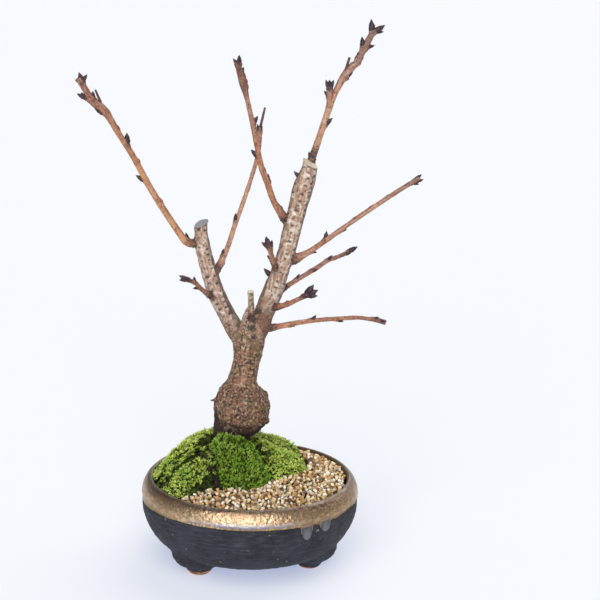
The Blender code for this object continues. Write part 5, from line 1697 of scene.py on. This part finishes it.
def build_cushion(name):
    """The pad's soft body, a little below its solid."""
    points, triangles = remeshed(*arrays_of(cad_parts[name].data), CUSHION_VOXEL)
    points = smoothed(points, triangles, 5)
    normals = normals_of(points, triangles)
    upper = ease(normals[:, 2], -0.6, -0.1)
    # Beside the root the moss is pulled up against the bark
    by_root = points[:, :2] - np.array(ROOT_PLACE)
    away = np.linalg.norm(by_root, axis=1)
    near_root = (1.0 - ease(away, ROOT_NEAR, ROOT_FAR)) * (points[:, 2] > ROOT_MOSS_LOW)
    top_drop, side_drop = CUSHION_DROPS[name]
    drop = top_drop - (top_drop + ROOT_RISE) * near_root
    if name.startswith("moss_left"):
        drop += LEFT_SLOPE[2] * ease(-points[:, 0], *LEFT_SLOPE[:2])
    # A side that faces the wall or the gravel is drawn in; one that faces another pad isn't
    level_out = (normals[:, :2] * by_root).sum(1) / away
    drop = drop * ease(normals[:, 2], 0.1, 0.6)
    drop += side_drop * ease(level_out, 0.3, 0.8) * (1.0 - ease(normals[:, 2], 0.2, 0.8))
    brow = soft_spot(points, BROW_PLACE, BROW_RADII)
    lift = cushion_lumps(points) - drop - GAP_DEPTH * gap_mask(points, normals)
    points = points + normals * (upper * lift)[:, None]
    points[:, 2] += BROW_RISE * brow * (name == "moss_front") * (points[:, 2] > BROW_LOW)
    points[:, :2] -= by_root / away[:, None] * (ROOT_PULL * near_root)[:, None]
    return points, triangles


print("cushions are ready to build")


# %% Moss shoots
def build_shoots(name, points, triangles):
    """The pad's leaves, and how far up its shoot and how fresh each point is."""
    spacing, leaf_count, length, leaf_width, lean, fresh = MOSS_KINDS[name]
    places, facing = throw(points, triangles, SHOOT_THROWS)
    upper = facing[:, 2] > -0.25
    places, facing = places[upper], facing[upper]
    kept = thin_out(places, spacing)
    places, facing = places[kept], facing[kept]
    # Few shoots grow in a gap, and those are short and painted dark, as shade
    gap = gap_mask(places, facing)
    kept = draw.random(len(places)) > 1.1 * gap
    places, facing, gap = places[kept], facing[kept], gap[kept]
    hollow = ease(-cushion_lumps(places), -0.1, 0.75)
    darker_patch = soft_spot(places, DARKER_PATCH_PLACE, DARKER_PATCH_RADII) * (draw.random(len(places)) < 0.8)
    # Painted shade: shoots in hollows and gaps get darker leaves; the darker patch adds to it
    shade = np.clip(HOLLOW_SHADE * hollow + 0.75 * darker_patch + 0.8 * gap, 0.0, 0.92)
    shoot_tone = np.clip(fresh + draw.normal(0.0, 0.16, len(places))
                         + 0.4 * noise_at(places, 0.16), 0.0, 1.0)
    shoot_size = draw.uniform(0.75, 1.2, len(places)) * (1.0 - 0.3 * hollow - 0.4 * gap)
    upward = facing + np.array([0.0, 0.0, 0.45])
    upward /= np.linalg.norm(upward, axis=1)[:, None]
    foot = places + upward * (draw.uniform(0.1, 0.7, len(places)))[:, None]
    count = len(places) * leaf_count
    owner = np.repeat(np.arange(len(places)), leaf_count)
    leans = np.radians(lean) * draw.uniform(0.25, 1.25, count)
    lengths = length * shoot_size[owner] * draw.uniform(0.75, 1.15, count)
    widths = leaf_width * draw.uniform(0.7, 1.2, count)
    curls = draw.uniform(-0.1, 0.5, count)
    leaves = blades(foot[owner], upward[owner], leans, lengths, widths, curls)
    reach = np.tile([0.0, 0.0, 0.55, 0.55, 1.0], count)
    reach = reach * np.repeat(draw.uniform(0.6, 1.0, count) * (1.0 - shade[owner]), 5)
    tone = np.repeat(shoot_tone[owner], 5)
    return *leaves, {"reach": reach, "fresh": tone}


print("shoots are ready to grow")

# %% Grow the moss
felt = cushion_finish()
moss = moss_finish()
moss_tops = []
for name in MOSS_KINDS:
    moss_tops.append(build_cushion(name))
    cushion = make_piece(name + "_cushion", moss_tops[-1], felt)
    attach(cushion, "root")
    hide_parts(name)
    shoots = make_piece(name + "_shoots", build_shoots(name, *moss_tops[-1]), moss, smooth=False)
    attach(shoots, "root")
    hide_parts(name)

# %% [markdown]
# ## Gravel
#
# The gravel is crushed granite: cream, tan and white grains of 2 to 3 mm with sharp edges. A ball
# with noise on it would look like a pebble. Here a ball is planed flat on several random sides,
# which gives the broken faces. A few such stones, each turned and sized anew, fill the strip.

# %% Stones
STONE_KINDS = 14
STONE_PLANES = 8
# Each layer: spacing, height over the bed, and how dark it is painted, as dust and the shade
# between the stones
STONE_LAYERS = [(1.75, -1.1, 1.0), (1.85, 0.0, 0.55), (2.15, 1.0, 0.0)]
STONE_RADII = (0.95, 1.9)
# Edges sharper than this many degrees stay hard
STONE_SHARP = 28.0


def stone_kinds():
    """Unit stones: balls planed on random sides."""
    kinds = []
    for _ in range(STONE_KINDS):
        points, triangles = even_ball()
        for _ in range(STONE_PLANES):
            facing = draw.normal(size=3)
            facing /= np.linalg.norm(facing)
            past = points @ facing - draw.uniform(0.38, 0.75)
            points = points - np.outer(np.clip(past, 0.0, None), facing)
        kinds.append((points * np.array([1.0, 0.85, 0.72]), triangles))
    return kinds


def even_ball():
    """An even unit ball of 42 points."""
    golden = (1.0 + math.sqrt(5.0)) / 2.0
    corners = [(-1, golden, 0), (1, golden, 0), (-1, -golden, 0), (1, -golden, 0),
               (0, -1, golden), (0, 1, golden), (0, -1, -golden), (0, 1, -golden),
               (golden, 0, -1), (golden, 0, 1), (-golden, 0, -1), (-golden, 0, 1)]
    faces = [(0, 11, 5), (0, 5, 1), (0, 1, 7), (0, 7, 10), (0, 10, 11), (1, 5, 9), (5, 11, 4),
             (11, 10, 2), (10, 7, 6), (7, 1, 8), (3, 9, 4), (3, 4, 2), (3, 2, 6), (3, 6, 8),
             (3, 8, 9), (4, 9, 5), (2, 4, 11), (6, 2, 10), (8, 6, 7), (9, 8, 1)]
    points = [Vector(corner).normalized() for corner in corners]
    halves = {}
    finer = []
    for a, b, c in faces:
        middles = []
        for ends in ((a, b), (b, c), (c, a)):
            key = tuple(sorted(ends))
            if key not in halves:
                halves[key] = len(points)
                points.append(((points[ends[0]] + points[ends[1]]) / 2).normalized())
            middles.append(halves[key])
        ab, bc, ca = middles
        finer += [(a, ab, ca), (b, bc, ab), (c, ca, bc), (ab, bc, ca)]
    return np.array([tuple(point) for point in points]), np.array(finer)


def turned_at_random(count):
    """Random rotations, as matrices."""
    four = draw.normal(size=(count, 4))
    w, x, y, z = (four / np.linalg.norm(four, axis=1)[:, None]).T
    return np.stack([
        np.stack([1 - 2 * (y * y + z * z), 2 * (x * y - z * w), 2 * (x * z + y * w)], 1),
        np.stack([2 * (x * y + z * w), 1 - 2 * (x * x + z * z), 2 * (y * z - x * w)], 1),
        np.stack([2 * (x * z - y * w), 2 * (y * z + x * w), 1 - 2 * (x * x + y * y)], 1)], 1)


def place_stones(kinds, places, radii):
    """Turned stones at their places."""
    turns = turned_at_random(len(places))
    which = draw.integers(0, len(kinds), len(places))
    parts = []
    for place, radius, turn, kind in zip(places, radii, turns, which):
        points, triangles = kinds[kind]
        parts.append((points * radius @ turn.T + place, triangles))
    return join_parts(parts)


print("stone helpers are ready")

# %% [markdown]
# The stones go where the gravel's solid is. From random places a ray is dropped on it, and the
# stones are laid in three thin layers at the height that the ray found. Each keeps clear of the
# bed's border, so none pokes into the pot's wall.

# %% Gravel bed
def ray_surface(points, triangles):
    """A surface that rays can be cast on."""
    return BVHTree.FromPolygons([tuple(point) for point in points],
                                [tuple(face) for face in triangles.tolist()])


gravel_points, gravel_triangles = arrays_of(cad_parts["gravel"].data)
gravel_tree = ray_surface(gravel_points, gravel_triangles)


def top_of(tree, x, y):
    """The height of a surface over a point, or None beside it."""
    hit = tree.ray_cast(Vector((x, y, 400.0)), Vector((0.0, 0.0, -1.0)))
    return None if hit[0] is None else hit[0].z


def gravel_places(spacing, lift):
    """Places on the bed, well apart and inside its border."""
    low, high = gravel_points.min(0), gravel_points.max(0)
    count = int(3.2 * (high[0] - low[0]) * (high[1] - low[1]) / spacing ** 2)
    spots = draw.uniform(low[:2], high[:2], (count, 2))
    places = []
    for x, y in spots:
        edge = [top_of(gravel_tree, x + i, y + j)
                for i, j in ((0.8, 0.0), (-0.8, 0.0), (0.0, 0.8), (0.0, -0.8))]
        height = top_of(gravel_tree, x, y)
        if height is not None and None not in edge:
            places.append((x, y, height + lift))
    places = np.array(places)
    return places[thin_out(places, spacing)]


def build_gravel():
    """Every stone, with its own tone and how deep it lies."""
    kinds = stone_kinds()
    layers = [gravel_places(spacing, lift) for spacing, lift, _ in STONE_LAYERS]
    deep = np.concatenate([np.full(len(layer), dust)
                           for layer, (_, _, dust) in zip(layers, STONE_LAYERS)])
    places = np.vstack(layers)
    low, high = STONE_RADII
    radii = low + (high - low) * draw.beta(2.0, 2.2, len(places))
    points, triangles = place_stones(kinds, places, radii)
    each = len(kinds[0][0])
    values = {"tone": np.repeat(draw.random(len(places)), each), "deep": np.repeat(deep, each)}
    print("stones:", len(places))
    return points, triangles, values


def gravel_finish():
    """Cream, tan, white and a few dark brown stones, each with its own fine specks."""
    finish, tree, where = new_finish("granite_grit", roughness=0.7)
    tone = attribute(tree, "tone")
    steps = [(0.0, (0.98, 0.91, 0.75)), (0.18, (0.94, 0.80, 0.56)), (0.40, (0.86, 0.64, 0.37)),
             (0.60, (0.74, 0.49, 0.23)), (0.75, (0.60, 0.34, 0.12)), (0.87, (0.38, 0.18, 0.065)),
             (0.93, (0.10, 0.055, 0.04)), (0.95, (0.96, 0.88, 0.76))]
    colour = colour_steps(tree, tone, steps)
    dirt = cloudy(tree, where, scale=650.0, low=0.45, high=0.7)
    colour = tinted(tree, colour, dirt, 0.35, (0.30, 0.19, 0.10))
    # Lower stones are painted dark, partly dust and partly the shade between the stones
    colour = tinted(tree, colour, attribute(tree, "deep"), 0.94, (0.085, 0.042, 0.018))
    mica = speckled(tree, where, scale=1600.0, size=0.4, share=0.12)
    colour = blend_colours(tree, mica, colour, (0.08, 0.06, 0.05))
    return finished(finish, colour, where, scale=1800.0, grit=0.5, depth_mm=0.12)


gravel = make_piece("gravel_stones", build_gravel(), gravel_finish(), sharp=STONE_SHARP)
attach(gravel, "root")
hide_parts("gravel")

# %% [markdown]
# ## Soil and drain net
#
# The soil shows only in the dark gaps between the moss pads, and under the pot the drain hole shows
# a black plastic net. Both solids already have the right shape, so they stay and only get a finish.
# Loose crumbs are scattered over the soil where no moss covers it.

# %% Soil and net
# How many places are tried before they are thinned out
CRUMB_THROWS = 30000
CRUMB_SPACING = 1.25
CRUMB_RADII = (0.45, 0.95)
# Crumbs lie only where the soil faces up at least this much, and above this height
CRUMB_FACING = 0.3
CRUMB_LOW = 43.0


def soil_finish():
    """Damp, nearly black brown granules."""
    finish, tree, where = new_finish("damp_soil", roughness=0.9)
    cloud = cloudy(tree, where, scale=420.0, low=0.4, high=0.65)
    colour = blend_colours(tree, cloud, (0.009, 0.006, 0.005), (0.032, 0.019, 0.013))
    grit = speckled(tree, where, scale=700.0, size=0.4, share=0.15)
    colour = blend_colours(tree, grit, colour, (0.10, 0.050, 0.030))
    return finished(finish, colour, where, scale=900.0, grit=0.7, depth_mm=0.7)


def net_finish():
    """Black moulded net with a faint grain."""
    finish, tree, where = new_finish("net_plastic", roughness=0.5)
    cloud = cloudy(tree, where, scale=300.0, low=0.3, high=0.7)
    colour = blend_colours(tree, cloud, (0.012, 0.012, 0.013), (0.024, 0.024, 0.025))
    return finished(finish, colour, where, scale=1400.0, grit=0.2, depth_mm=0.05)


soil = soil_finish()
for node_name, finish in (("soil", soil), ("drain_net", net_finish())):
    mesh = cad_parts[node_name].data
    mesh.materials.clear()
    mesh.materials.append(finish)

cover = ray_surface(*join_parts(moss_tops + [(gravel_points, gravel_triangles)]))
soil_places, soil_facing = throw(*arrays_of(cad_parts["soil"].data), CRUMB_THROWS)
open_soil = [number for number, place in enumerate(soil_places)
             if soil_facing[number, 2] > CRUMB_FACING and place[2] > CRUMB_LOW
             and top_of(cover, place[0], place[1]) is None]
soil_places = soil_places[open_soil]
soil_places = soil_places[thin_out(soil_places, CRUMB_SPACING)]
crumb_radii = draw.uniform(*CRUMB_RADII, len(soil_places))
crumb_part = place_stones(stone_kinds(), soil_places, crumb_radii)
crumbs = make_piece("soil_crumbs", crumb_part, soil, sharp=STONE_SHARP)
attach(crumbs, "root")
